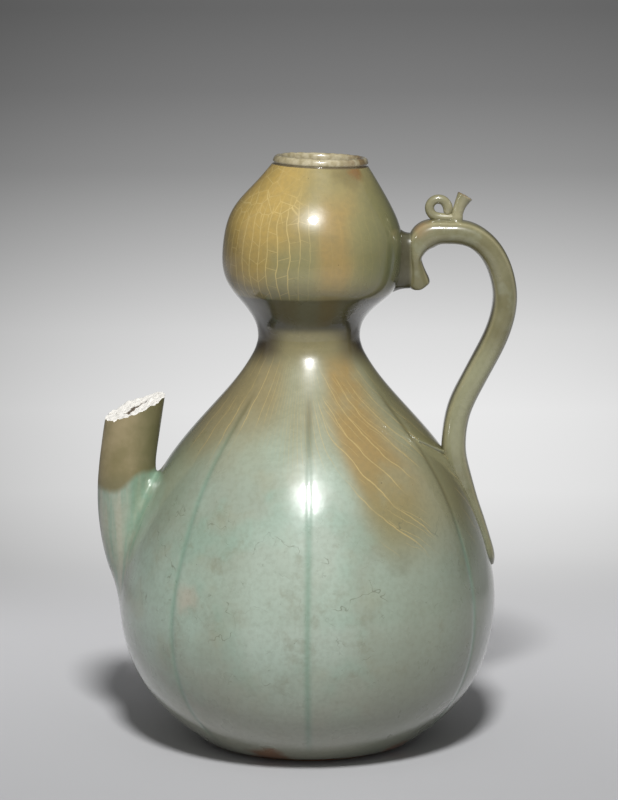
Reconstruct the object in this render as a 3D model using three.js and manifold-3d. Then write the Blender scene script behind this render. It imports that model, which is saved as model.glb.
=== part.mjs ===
import * as THREE from 'three';
import { mergeVertices } from 'three/addons/utils/BufferGeometryUtils.js';
import Module from 'manifold-3d';

const wasm = await Module();
wasm.setup();

const { degToRad, lerp, smoothstep } = THREE.MathUtils;

// A double-gourd celadon ewer in millimetres, standing on z = 0.
// +X points to the handle and -X to the spout. Two thrown bulbs are luted
// together at the waist, and the upper one leans a little to the handle.

// Lower bulb
const footHeight = 2.6;
const footRadius = 48;
const footWidth = 5;
const baseRadius = 55;
const lowerTop = 199;
const lowerRadius = 93;
const waistRadius = 25;
const wall = 5;
// Outline from the base to the waist: share of the way from the waist radius
// to the full radius, and share of the height.
const lowerShape = [[0.775, 0.105], [1, 0.335], [0.881, 0.54], [0.641, 0.708], [0.269, 0.862], [0.051, 0.962]];

// Incised grooves, as degrees round from the front towards the handle.
// One lies under the spout, and the handle stands between two of them.
const grooveAngles = [0, 60, 120, 180, 224, 270, 316];
const grooveHalfWidth = 1.7;
const grooveDepth = 1.1;
const grooveFoot = 6;
const grooveTop = 181;
const grooveFade = 10;

// Waist joint and upper bulb
const waistLuteHeight = 3;
const waistLuteBulge = 1.4;
const upperHeight = 84;
const upperRadius = 44;
const neckRadius = 23.6;
const upperShape = [
  [0.032, 0.054], [0.389, 0.179], [0.879, 0.31], [1, 0.488], [0.905, 0.649], [0.611, 0.786], [0.295, 0.887],
];
const lean = degToRad(4.9);
const leanStart = 2.5;
const leanEnd = 37;

// Mouth
const mouthRadius = 19.2;
const lipRadius = 23.2;
const lipBand = 1.6;
const lipRound = 2.7;

// Spout, broken off at its end
const spoutRadius = 13.75;
const spoutBoreRadius = 8.7;
const spoutHoleRadius = 6.6;
const spoutBreakInset = 7.4;
const spoutBreakZ = 166.4;
const spoutReach = 2.3;
const spoutRootZ = 68;
const spoutHoleZ = 96;
const breakRise = degToRad(20.8);
const breakBack = degToRad(8);

// Old filling in the broken end
const fillDepth = 13;
const fillRecess = 1.2;
const fillSlotLength = 11;
const fillSlotWidth = 3;
const fillSlotDepth = 5;

// Handle strap
const strapWidth = 20;
const strapThickness = 12;
const strapEndThickness = 6.4;
const strapTailWidth = 15;
const strapTailThickness = 2.5;
const strapSeatHeight = 39;
const strapSeatRise = 3;
const archRise = 50.7;
const archOffset = 20.3;
const handleOverhang = 2.8;
const reachRise = 17.5;
const handleFootZ = 152;
const handleFootStandoff = 10.7;
const tailTopDrop = 8.6;
const tailRootLift = 7.8;
const tailEdgeThickness = 7.2;
const tailEndZ = 88;
const luteDepth = 2.8;
const luteWidth = 17;
const luteHeight = 27;
const luteRise = 1.5;
const luteSink = 12;
const luteFlare = 1.1;

// The strap's end hooks outwards under its seat, and above the seat it bends
// over into the arch. Each row has the way out from the strap, the way up from
// the seat or from the arch's level, and half the thickness there, all as
// shares of the strap's thickness.
const hookShape = [[0.61, -0.73, 0.075], [0.37, -0.75, 0.26], [0.17, -0.58, 0.36], [0.04, -0.29, 0.3]];
const bendShape = [[0.025, -0.6, 0.325], [0.24, -0.2, 0.43], [0.65, -0.017, 0.5], [1.11, 0, 0.5]];

// Coil and broken stub on top of the strap
const loopOffset = 11.5;
const loopRadius = 4.3;
const tendrilRadius = 2.1;
const loopTurn = degToRad(330);
const stubOffset = 20.5;
const stubHeight = 12;
const stubSink = 2;
const stubRun = 4;
const stubFootRadius = 2.7;
const stubTopRadius = 3.7;
const stubCutSlope = 0.52;

// Clearance where one fired-on piece is cut to seat on another
const seat = 0.3;

const spoutReachX = -(lowerRadius - spoutReach);
const handleReach = lowerRadius + handleOverhang;
const upperBase = lowerTop + waistLuteHeight;
const evenAngles = (count) => Array.from({ length: count }, (_, i) => (i / count) * 2 * Math.PI);

// Closed surface through rings of equal length. It wraps round like a tyre,
// or has a flat fan over each end ring.
function skin(rings, wrap = false) {
  const sides = rings[0].length;
  const points = rings.flat();
  const faces = [];
  const bands = wrap ? rings.length : rings.length - 1;
  for (let r = 0; r < bands; r++) {
    const next = (r + 1) % rings.length;
    for (let s = 0; s < sides; s++) {
      const a = r * sides + s;
      const b = r * sides + ((s + 1) % sides);
      const c = next * sides + ((s + 1) % sides);
      const d = next * sides + s;
      faces.push([a, b, c], [a, c, d]);
    }
  }
  if (!wrap) {
    const lastRing = (rings.length - 1) * sides;
    const first = points.push(centreOf(rings[0])) - 1;
    const last = points.push(centreOf(rings.at(-1))) - 1;
    for (let s = 0; s < sides; s++) {
      const t = (s + 1) % sides;
      faces.push([first, t, s], [last, lastRing + s, lastRing + t]);
    }
  }
  const outward = volumeOf(points, faces) > 0;
  const index = faces.flatMap(([a, b, c]) => (outward ? [a, b, c] : [a, c, b]));
  const geometry = new THREE.BufferGeometry();
  geometry.setAttribute('position', new THREE.Float32BufferAttribute(points.flatMap((p) => p.toArray()), 3));
  geometry.setIndex(index);
  return geometry;
}

function centreOf(ring) {
  const sum = ring.reduce((total, p) => total.add(p), new THREE.Vector3());
  return sum.divideScalar(ring.length);
}

function volumeOf(points, faces) {
  const cross = new THREE.Vector3();
  return faces.reduce((sum, [a, b, c]) => sum + points[a].dot(cross.crossVectors(points[b], points[c])), 0);
}

function toSolid(geometry) {
  const bare = geometry.clone();
  bare.deleteAttribute('normal');
  bare.deleteAttribute('uv');
  const merged = mergeVertices(bare, 1e-5);
  const mesh = new wasm.Mesh({
    numProp: 3,
    vertProperties: new Float32Array(merged.attributes.position.array),
    triVerts: new Uint32Array(merged.index.array),
  });
  return new wasm.Manifold(mesh);
}

function toGeometry(solid) {
  const mesh = solid.getMesh();
  const geometry = new THREE.BufferGeometry();
  geometry.setAttribute('position', new THREE.Float32BufferAttribute(mesh.vertProperties, 3));
  geometry.setIndex(new THREE.Uint32BufferAttribute(mesh.triVerts, 1));
  return geometry;
}

// Outline in the (radius, height) plane from shares of a radius and a height.
function bulbOutline(start, end, fullRadius, shape) {
  const between = shape.map(([r, h]) => {
    const radius = lerp(waistRadius, fullRadius, r);
    return new THREE.Vector2(radius, lerp(start.y, end.y, h));
  });
  return new THREE.SplineCurve([start, ...between, end]);
}

// Points of an outline, moved square to it by an offset, with both ends kept
// in their own level planes.
function wallPoints(outline, count, offset) {
  return Array.from({ length: count + 1 }, (_, i) => {
    const t = i / count;
    const point = outline.getPoint(t);
    const along = outline.getTangent(t);
    const moved = new THREE.Vector2(point.x + along.y * offset, point.y - along.x * offset);
    return t === 1 ? new THREE.Vector2(point.x + offset, point.y) : moved;
  });
}

const lowerOutline = bulbOutline(
  new THREE.Vector2(baseRadius, footHeight),
  new THREE.Vector2(waistRadius, lowerTop),
  lowerRadius,
  lowerShape,
);
const upperOutline = bulbOutline(
  new THREE.Vector2(waistRadius, 0),
  new THREE.Vector2(neckRadius, upperHeight),
  upperRadius,
  upperShape,
);

// Parameter at which an outline reaches a height.
function paramAt(outline, height) {
  let low = 0;
  let high = 1;
  for (let i = 0; i < 40; i++) {
    const middle = (low + high) / 2;
    if (outline.getPoint(middle).y < height) {
      low = middle;
    } else {
      high = middle;
    }
  }
  return low;
}

const lowerRadiusAt = (z) => lowerOutline.getPoint(paramAt(lowerOutline, z)).x;
const upperRadiusAt = (h) => upperOutline.getPoint(paramAt(upperOutline, h)).x;

// Middle line of the leaning upper bulb at a height measured along it.
function spine(height) {
  const steps = 60;
  let x = 0;
  let z = upperBase;
  for (let i = 0; i < steps; i++) {
    const angle = leanAt(((i + 0.5) / steps) * height);
    x += (Math.sin(angle) * height) / steps;
    z += (Math.cos(angle) * height) / steps;
  }
  return { x, z, angle: leanAt(height) };
}

function leanAt(height) {
  return lean * smoothstep(height, leanStart, leanEnd);
}

function levelRing(radius, z, angles) {
  return angles.map((a) => new THREE.Vector3(radius * Math.sin(a), -radius * Math.cos(a), z));
}

function leaningRing(radius, height, angles) {
  const { x, z, angle } = spine(height);
  return angles.map((a) => {
    const out = radius * Math.sin(a);
    return new THREE.Vector3(x + out * Math.cos(angle), -radius * Math.cos(a), z - out * Math.sin(angle));
  });
}

// Section swept along a path in the XZ plane. Every station has a place, a
// half width along Y and a half thickness in the plane of the path.
function sweep(stations, sides, squareness) {
  const path = new THREE.SplineCurve(stations.map(({ x, z }) => new THREE.Vector2(x, z)));
  const sizes = new THREE.SplineCurve(stations.map(({ wide, thick }) => new THREE.Vector2(wide, thick)));
  const count = (stations.length - 1) * 2;
  const power = 2 / squareness;
  const rings = [];
  for (let i = 0; i <= count; i++) {
    const centre = path.getPoint(i / count);
    const along = path.getTangent(i / count);
    const size = sizes.getPoint(i / count);
    rings.push(evenAngles(sides).map((a) => {
      const across = size.x * Math.sign(Math.cos(a)) * Math.abs(Math.cos(a)) ** power;
      const depth = size.y * Math.sign(Math.sin(a)) * Math.abs(Math.sin(a)) ** power;
      return new THREE.Vector3(centre.x - along.y * depth, across, centre.y + along.x * depth);
    }));
  }
  return rings;
}

// Lower bulb

function grooveAnglesAround() {
  const spread = [-1, -0.5, 0, 0.5, 1];
  const between = [0.25, 0.5, 0.75];
  return grooveAngles.flatMap((angle, i) => {
    const next = grooveAngles[(i + 1) % grooveAngles.length];
    const span = (next - angle + 360) % 360;
    const centre = degToRad(angle);
    const cut = spread.map((share) => ({ centre, share, rest: 0 }));
    const lobe = between.map((share) => ({ centre, share: 1, rest: degToRad(span) * share }));
    return [...cut, ...lobe];
  });
}

function groovedRing(radius, z, depth) {
  const halfAngle = grooveHalfWidth / radius;
  const rise = smoothstep(z, grooveFoot, grooveFoot + grooveFade);
  const fade = rise * (1 - smoothstep(z, grooveTop - grooveFade, grooveTop));
  return grooveAnglesAround().map(({ centre, share, rest }) => {
    const angle = centre + (rest > 0 ? rest : share * halfAngle);
    const cut = rest > 0 ? 0 : depth * fade * (1 - share ** 2);
    return new THREE.Vector3((radius - cut) * Math.sin(angle), (cut - radius) * Math.cos(angle), z);
  });
}

function lowerBulb() {
  const outside = wallPoints(lowerOutline, 21, 0).map((p) => groovedRing(p.x, p.y, grooveDepth));
  const inside = wallPoints(lowerOutline, 12, -wall).map((p) => groovedRing(p.x, p.y, 0));
  return toGeometry(toSolid(skin([...outside, ...inside.reverse()])).subtract(spoutWay));
}

function lowerCutter() {
  return toSolid(skin(wallPoints(lowerOutline, 42, seat).map((p) => levelRing(p.x, p.y, evenAngles(96)))));
}

function footRing() {
  const angles = evenAngles(48);
  const inner = footRadius - footWidth;
  const edge = 0.7;
  const section = [
    [inner + edge, 0],
    [footRadius - edge, 0],
    [footRadius, edge],
    [footRadius + edge, footHeight],
    [inner - edge, footHeight],
    [inner, edge],
  ];
  return skin(section.map(([r, z]) => levelRing(r, z, angles)), true);
}

// Waist joint and upper bulb

function waistLute() {
  const angles = evenAngles(40);
  const bore = waistRadius - wall;
  const bulge = [0.25, 0.5, 0.75].map((t) => [
    bore - waistLuteBulge * Math.sin(Math.PI * t),
    upperBase - waistLuteHeight * t,
  ]);
  const section = [[waistRadius, lowerTop], [waistRadius, upperBase], [bore, upperBase], ...bulge, [bore, lowerTop]];
  return skin(section.map(([r, z]) => levelRing(r, z, angles)), true);
}

function upperBulb() {
  const angles = evenAngles(40);
  const outside = wallPoints(upperOutline, 18, 0);
  const inside = wallPoints(upperOutline, 12, -wall);
  inside[0] = new THREE.Vector2(waistRadius - wall, 0);
  return skin([...outside, ...inside.reverse()].map((p) => leaningRing(p.x, p.y, angles)), true);
}

function upperCutter() {
  return toSolid(skin(wallPoints(upperOutline, 36, seat).map((p) => leaningRing(p.x, p.y, evenAngles(80)))));
}

function mouthRim() {
  const start = upperHeight + seat;
  const middle = (mouthRadius + lipRadius) / 2;
  const half = (lipRadius - mouthRadius) / 2;
  const round = Array.from({ length: 7 }, (_, i) => {
    const a = (i / 6) * Math.PI;
    return [middle + half * Math.cos(a), start + lipBand + lipRound * Math.sin(a)];
  });
  const section = [[mouthRadius, start], [neckRadius, start], ...round];
  return skin(section.map(([r, h]) => leaningRing(r, h, evenAngles(40))), true);
}

// Spout

function spoutStations() {
  const fall = (share) => lerp(spoutRootZ, spoutBreakZ, share);
  const breakX = -(lowerRadius - spoutBreakInset);
  const bent = (share) => lerp(spoutReachX, breakX, share);
  return [
    { x: bent(1), z: fall(1) },
    { x: bent(0.36), z: fall(0.78) },
    { x: bent(0), z: fall(0.564) },
    { x: bent(0.36), z: fall(0.355) },
    { x: bent(1.43), z: fall(0.167) },
    { x: bent(3.1), z: fall(0) },
  ];
}

// Unit vector along the spout at its break, pointing out of it.
function breakDirection() {
  const [top, next] = spoutStations();
  return new THREE.Vector3(top.x - next.x, 0, top.z - next.z).normalize();
}

// Height of the broken edge's plane over a point of it, lowered by a recess.
function breakPlaneZ(x, y, recess = 0) {
  const [top] = spoutStations();
  return top.z - recess + (x - top.x) * Math.tan(breakRise) + y * Math.tan(breakBack);
}

function spoutOutside() {
  const stations = spoutStations().map((s) => ({ ...s, wide: spoutRadius, thick: spoutRadius }));
  const rings = sweep(stations, 28, 2);
  rings[0] = ontoBreak(rings[0], 0);
  return toSolid(skin(rings));
}

function ontoBreak(ring, recess) {
  const out = breakDirection();
  const slope = out.z - out.x * Math.tan(breakRise);
  return ring.map((p) => {
    const rise = (breakPlaneZ(p.x, p.y, recess) - p.z) / slope;
    return p.clone().addScaledVector(out, rise);
  });
}

// The way through the spout: past its break, down the tube, then in through
// the wall of the lower bulb.
function spoutBore() {
  const [top, second, third] = spoutStations();
  const out = breakDirection();
  const past = spoutRadius;
  const holeX = -lowerRadiusAt(spoutHoleZ);
  const stations = [
    { x: top.x + out.x * past, z: top.z + out.z * past, size: spoutBoreRadius },
    { x: second.x, z: second.z, size: spoutBoreRadius },
    { x: third.x, z: third.z, size: spoutBoreRadius },
    { x: third.x + 2.4, z: lerp(spoutHoleZ, third.z, 0.45), size: lerp(spoutHoleRadius, spoutBoreRadius, 0.5) },
    { x: holeX + 2, z: spoutHoleZ + 3.5, size: spoutHoleRadius },
    { x: holeX + 3 * wall, z: spoutHoleZ, size: spoutHoleRadius },
    { x: holeX + 6 * wall, z: spoutHoleZ - 1, size: spoutHoleRadius },
  ];
  return toSolid(skin(sweep(stations.map(({ x, z, size }) => ({ x, z, wide: size, thick: size })), 20, 2)));
}

const spoutWay = spoutBore();
const lowerCut = lowerCutter();

function spout() {
  return toGeometry(spoutOutside().subtract(spoutWay).subtract(lowerCut));
}

function spoutFill() {
  const [top] = spoutStations();
  const out = breakDirection();
  const radius = spoutBoreRadius - seat;
  const across = new THREE.Vector3(out.z, 0, -out.x);
  const disc = (depth) => evenAngles(20).map((a) => new THREE.Vector3(top.x, 0, top.z)
    .addScaledVector(out, -depth)
    .addScaledVector(across, radius * Math.cos(a))
    .setY(radius * Math.sin(a)));
  const plug = skin([ontoBreak(disc(0), fillRecess), disc(fillDepth)]);
  const slotRing = (depth) => evenAngles(16).map((a) => new THREE.Vector3(top.x, 0, top.z)
    .addScaledVector(out, -depth)
    .addScaledVector(across, (fillSlotLength / 2) * Math.cos(a))
    .setY((fillSlotWidth / 2) * Math.sin(a)));
  const slot = skin([slotRing(-spoutRadius), slotRing(fillRecess + fillSlotDepth)]);
  return toGeometry(toSolid(plug).subtract(toSolid(slot)));
}

// Handle

const seatPoint = (() => {
  const { x, z, angle } = spine(strapSeatHeight);
  const radius = upperRadiusAt(strapSeatHeight);
  return { x: x + radius * Math.cos(angle), z: z - radius * Math.sin(angle) };
})();
const strapX = seatPoint.x + luteDepth + strapEndThickness / 2;
const strapZ = seatPoint.z;
const archZ = upperBase + archRise;
const reachZ = upperBase + reachRise;
const strapTop = archZ + strapThickness / 2;

function strapStations(grow) {
  const thick = strapThickness / 2 + grow;
  const wide = strapWidth / 2 + grow;
  const archX = strapX + archOffset;
  const footX = lowerRadiusAt(handleFootZ) + handleFootStandoff;
  const shaped = (shape, level) => shape.map(([out, up, half], i) => ({
    x: strapX + out * strapThickness,
    z: level + up * strapThickness,
    wide: wide * (shape === hookShape ? lerp(0.85, 1, i / (shape.length - 1)) : 1),
    thick: half * strapThickness + grow,
  }));
  const hook = shaped(hookShape, strapZ);
  const end = { x: strapX, z: strapZ + strapSeatRise, wide, thick: strapEndThickness / 2 + grow };
  const bend = shaped(bendShape, archZ);
  const arch = [0, 18, 36, 54, 72, 90].map((degrees) => ({
    x: lerp(archX, handleReach, Math.sin(degToRad(degrees))),
    z: lerp(reachZ, archZ, Math.cos(degToRad(degrees))),
    wide,
    thick,
  }));
  const fall = [0.2, 0.4, 0.6, 0.8, 1].map((share) => ({
    x: lerp(handleReach, footX, smoothstep(share, 0, 1)),
    z: lerp(reachZ, handleFootZ, share),
    wide,
    thick,
  }));
  const tail = [0, 0.2, 0.4, 0.6, 0.8, 0.93, 1].map((share) => {
    const z = lerp(handleFootZ - tailTopDrop, tailEndZ, share);
    const standoff = strapTailThickness + tailRootLift * (1 - share) ** 4;
    const half = lerp(thick, tailEdgeThickness / 2, share) * (share === 1 ? 0.6 : 1);
    const end = lerp(wide, strapTailWidth / 2, share) * (share === 1 ? 0.7 : 1);
    return { x: lowerRadiusAt(z) + standoff - half, z, wide: end, thick: half };
  });
  return [...hook, end, ...bend, ...arch, ...fall, ...tail];
}

const strapRings = (grow) => sweep(strapStations(grow), 16, 3);
const strapCut = toSolid(skin(strapRings(seat)));

function handleStrap() {
  return toGeometry(toSolid(skin(strapRings(0))).subtract(lowerCut));
}

function handleTopLute() {
  const sides = 20;
  const ring = (x, share) => evenAngles(sides).map((a) => {
    const power = 0.6;
    const y = (luteWidth / 2) * share * Math.sign(Math.cos(a)) * Math.abs(Math.cos(a)) ** power;
    const z = (luteHeight / 2) * share * Math.sign(Math.sin(a)) * Math.abs(Math.sin(a)) ** power;
    return new THREE.Vector3(x, y, strapZ + luteRise + z);
  });
  const pad = toSolid(skin([ring(seatPoint.x - luteSink, luteFlare), ring(seatPoint.x, 1), ring(strapX, 1)]));
  return toGeometry(pad.subtract(upperCutter()).subtract(strapCut));
}

// Coil and broken stub

function tendrilLoop() {
  const centreX = strapX + loopOffset;
  const centreZ = strapTop + loopRadius + tendrilRadius * 0.9;
  const start = -Math.PI / 2 + (2 * Math.PI - loopTurn) / 2;
  const rings = Array.from({ length: 19 }, (_, i) => {
    const turn = start + (i / 18) * loopTurn;
    return evenAngles(8).map((a) => {
      const reach = loopRadius + tendrilRadius * Math.cos(a);
      return new THREE.Vector3(
        centreX + reach * Math.cos(turn),
        tendrilRadius * Math.sin(a),
        centreZ + reach * Math.sin(turn),
      );
    });
  });
  return toGeometry(toSolid(skin(rings)).subtract(strapCut));
}

function stemStub() {
  const foot = { x: strapX + stubOffset, z: strapTop - stubSink };
  const height = stubHeight + stubSink;
  const rings = [0, 0.25, 0.55, 0.8, 1].map((share) => {
    const radius = lerp(stubFootRadius, stubTopRadius, smoothstep(share, 0.2, 1));
    const slope = share === 1 ? stubCutSlope : 0.25;
    return evenAngles(14).map((a) => new THREE.Vector3(
      foot.x + stubRun * share + radius * Math.cos(a),
      radius * Math.sin(a),
      foot.z + height * share - radius * Math.cos(a) * slope,
    ));
  });
  return toGeometry(toSolid(skin(rings)).subtract(strapCut));
}

// Assembly

const ewer = new THREE.Group();

function place(name, geometry, color, roughness) {
  const material = new THREE.MeshStandardMaterial({ color, roughness, metalness: 0 });
  const mesh = new THREE.Mesh(geometry, material);
  mesh.name = name;
  ewer.add(mesh);
}

place('foot_ring', footRing(), 0x8f7a5e, 0.7);
place('lower_bulb', lowerBulb(), 0x9aab9a, 0.18);
place('waist_lute', waistLute(), 0x86916f, 0.2);
place('upper_bulb', upperBulb(), 0x9a9a63, 0.18);
place('mouth_rim', mouthRim(), 0xb3aa88, 0.3);
place('spout', spout(), 0x7d8467, 0.22);
place('spout_fill', spoutFill(), 0xd6d2c8, 0.95);
place('handle_strap', handleStrap(), 0x7c8664, 0.2);
place('handle_top_lute', handleTopLute(), 0x848c68, 0.22);
place('tendril_loop', tendrilLoop(), 0x7c8664, 0.22);
place('stem_stub', stemStub(), 0x8a8a68, 0.35);

export default ewer;
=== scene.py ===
"""A double-gourd celadon ewer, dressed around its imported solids.

Every piece is built in metres in the frame of the solids: +Z up, +X to the
handle and -X to the broken spout. Each class holds one sub-assembly of the pot
or one finish.
"""

import logging
import math
from dataclasses import dataclass, field
from enum import Enum

import bpy
import numpy as np
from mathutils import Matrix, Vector

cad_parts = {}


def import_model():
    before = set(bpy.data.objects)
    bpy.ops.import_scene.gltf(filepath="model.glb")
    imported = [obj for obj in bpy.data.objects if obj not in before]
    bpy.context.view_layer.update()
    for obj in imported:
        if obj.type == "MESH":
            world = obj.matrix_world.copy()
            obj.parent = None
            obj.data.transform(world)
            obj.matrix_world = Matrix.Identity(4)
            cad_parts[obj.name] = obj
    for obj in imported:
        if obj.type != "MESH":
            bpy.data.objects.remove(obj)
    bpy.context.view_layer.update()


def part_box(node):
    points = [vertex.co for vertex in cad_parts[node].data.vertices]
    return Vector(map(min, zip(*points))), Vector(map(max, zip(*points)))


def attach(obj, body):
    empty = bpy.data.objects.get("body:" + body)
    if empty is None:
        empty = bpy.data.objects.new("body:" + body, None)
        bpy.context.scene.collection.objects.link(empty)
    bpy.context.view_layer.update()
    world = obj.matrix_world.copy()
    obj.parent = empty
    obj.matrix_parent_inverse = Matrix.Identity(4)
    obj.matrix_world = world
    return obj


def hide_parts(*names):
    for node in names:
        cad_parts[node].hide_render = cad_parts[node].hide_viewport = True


LOG = logging.getLogger("ewer")
MM = 0.001
TURN = 2 * math.pi
BODY = "root"
GROOVE = "groove"
SLOT = "slot"
# Mark of the strap's inner face, which is painted darker as shade.
INNER_SHADE = "inner"


class Zone(Enum):
    """Which stretch of the pot a glaze covers, since the kiln coloured each in its own way."""

    LOWER = "lower"
    UPPER = "upper"
    HANDLE = "handle"
    SPOUT = "spout"
    LIP = "lip"


def srgb(red: int, green: int, blue: int) -> tuple[float, float, float, float]:
    """Turns a colour of 0 to 255 into the linear colour that a shader takes.

    Args:
        red, green, blue: The colour's channels.

    Returns:
        Linear red, green, blue and an alpha of 1.
    """
    scaled = (red / 255, green / 255, blue / 255)
    linear = [c / 12.92 if c <= 0.04045 else ((c + 0.055) / 1.055) ** 2.4 for c in scaled]
    return (*linear, 1.0)


def smooth(value: np.ndarray, low: float, high: float) -> np.ndarray:
    """Rises smoothly from 0 at low to 1 at high."""
    share = np.clip((value - low) / (high - low), 0, 1)
    return share * share * (3 - 2 * share)


def smooth_line(points: list[tuple[float, ...]], count: int) -> np.ndarray:
    """Natural cubic spline through points, spaced by the distance between them.

    Args:
        points: The points to pass through.
        count: How many points to return.

    Returns:
        Points along the line, evenly spaced along its chords.
    """
    knots = np.array(points, float)
    steps = np.linalg.norm(np.diff(knots, axis=0), axis=1)
    at = np.concatenate([[0], np.cumsum(steps)])
    n = len(knots)
    system = np.zeros((n, n))
    right = np.zeros_like(knots)
    system[0, 0] = system[-1, -1] = 1
    for i in range(1, n - 1):
        system[i, i - 1] = steps[i - 1]
        system[i, i] = 2 * (steps[i - 1] + steps[i])
        system[i, i + 1] = steps[i]
        right[i] = 6 * ((knots[i + 1] - knots[i]) / steps[i] - (knots[i] - knots[i - 1]) / steps[i - 1])
    bend = np.linalg.solve(system, right)
    where = np.linspace(0, at[-1], count)
    span = np.clip(np.searchsorted(at, where, side="right") - 1, 0, n - 2)
    h = steps[span][:, None]
    left = (at[span + 1] - where)[:, None]
    gone = (where - at[span])[:, None]
    return (
        bend[span] * left**3 / (6 * h)
        + bend[span + 1] * gone**3 / (6 * h)
        + (knots[span] / h - bend[span] * h / 6) * left
        + (knots[span + 1] / h - bend[span + 1] * h / 6) * gone
    )


def ripple(points: np.ndarray, scale: float, seed: int) -> np.ndarray:
    """Soft irregularity from a few crossed waves, between about -1 and 1.

    Args:
        points: Places as rows of x, y, z in metres.
        scale: Rough length of one wave in metres.
        seed: Chooses the directions of the waves.

    Returns:
        One value for each point.
    """
    rng = np.random.default_rng(seed)
    total = np.zeros(len(points))
    for _ in range(7):
        direction = rng.normal(size=3)
        direction /= np.linalg.norm(direction)
        rate = TURN / scale * rng.uniform(0.6, 1.7)
        total += np.sin(points @ direction * rate + rng.uniform(0, TURN))
    return total / 3.5


def skin_mesh(
    name: str, rings: np.ndarray, wrap: bool = False, sharp: float = 40, part: np.ndarray | None = None
) -> bpy.types.Object:
    """Closed mesh through rings of points, facing outwards.

    Args:
        name: Name of the new object.
        rings: Array of rings, each a row of x, y, z points.
        wrap: Joins the last ring to the first one, in place of two end caps.
        sharp: Angle in degrees past which an edge stays crisp.
        part: Material index of each band of faces, or None for all 0.

    Returns:
        The new object, linked to the scene.
    """
    count, sides = rings.shape[:2]
    here = np.arange(sides)
    after = (here + 1) % sides
    bands = count if wrap else count - 1
    low = np.arange(bands)[:, None] * sides
    high = (np.arange(1, bands + 1)[:, None] % count) * sides
    quads = np.stack([low + here, low + after, high + after, high + here], axis=2).reshape(-1, 4)
    corners = rings.reshape(-1, 3)
    first, second, third, fourth = (corners[quads[:, i]] for i in range(4))
    flat = np.cross(third - first, fourth - second)
    volume = np.einsum("ij,ij->", (first + second + third + fourth) / 4 - corners.mean(axis=0), flat)
    faces: list[tuple[int, ...]] = [tuple(q) for q in quads.tolist()]
    kinds = np.repeat(np.arange(bands), sides)
    if not wrap:
        corners = np.vstack([corners, rings[0].mean(0), rings[-1].mean(0)])
        bottom, top, last = count * sides, count * sides + 1, (count - 1) * sides
        faces.extend((bottom, int(b), int(a)) for a, b in zip(here, after))
        faces.extend((top, int(last + a), int(last + b)) for a, b in zip(here, after))
        kinds = np.concatenate([kinds, np.zeros(sides, int), np.full(sides, count - 2)])
    if volume < 0:
        faces = [face[::-1] for face in faces]
    mesh = bpy.data.meshes.new(name)
    mesh.from_pydata(corners.tolist(), [], faces)
    if part is not None:
        mesh.polygons.foreach_set("material_index", part[kinds].astype(np.int32))
    mesh.shade_smooth()
    mesh.set_sharp_from_angle(angle=math.radians(sharp))
    thing = bpy.data.objects.new(name, mesh)
    bpy.context.scene.collection.objects.link(thing)
    return thing


def mark(thing: bpy.types.Object, name: str, values: np.ndarray) -> None:
    """Gives each point of a mesh a value, with 0 for the points that close its ends."""
    marks = thing.data.attributes.new(name, "FLOAT", "POINT")
    full = np.zeros(len(thing.data.vertices), np.float32)
    full[: values.size] = values.ravel()
    marks.data.foreach_set("value", full)


def turned(section: np.ndarray, angles: np.ndarray) -> np.ndarray:
    """Upright rings from rows of radius and height, at angles round from the front."""
    level = np.repeat(section[:, 1:2], len(angles), axis=1)
    return np.stack([section[:, 0:1] * np.sin(angles), -section[:, 0:1] * np.cos(angles), level], axis=2)


def sweep_rings(
    path: np.ndarray, wide: np.ndarray, thick: np.ndarray, sides: int, square: float
) -> np.ndarray:
    """Rings of a flattened section swept along a path in the XZ plane.

    Args:
        path: Rows of x, z.
        wide: Half width along Y at each station.
        thick: Half thickness in the path's plane at each station.
        sides: Points round the section.
        square: Squareness of the section, 2 for an oval.

    Returns:
        Rings of x, y, z points.
    """
    along = np.gradient(path, axis=0)
    along /= np.linalg.norm(along, axis=1)[:, None]
    angle = np.arange(sides) / sides * TURN
    across = np.sign(np.cos(angle)) * np.abs(np.cos(angle)) ** (2 / square)
    depth = np.sign(np.sin(angle)) * np.abs(np.sin(angle)) ** (2 / square)
    x = path[:, 0:1] - along[:, 1:2] * thick[:, None] * depth
    z = path[:, 1:2] + along[:, 0:1] * thick[:, None] * depth
    y = wide[:, None] * across
    return np.stack([x, y, z], axis=2)


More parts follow.
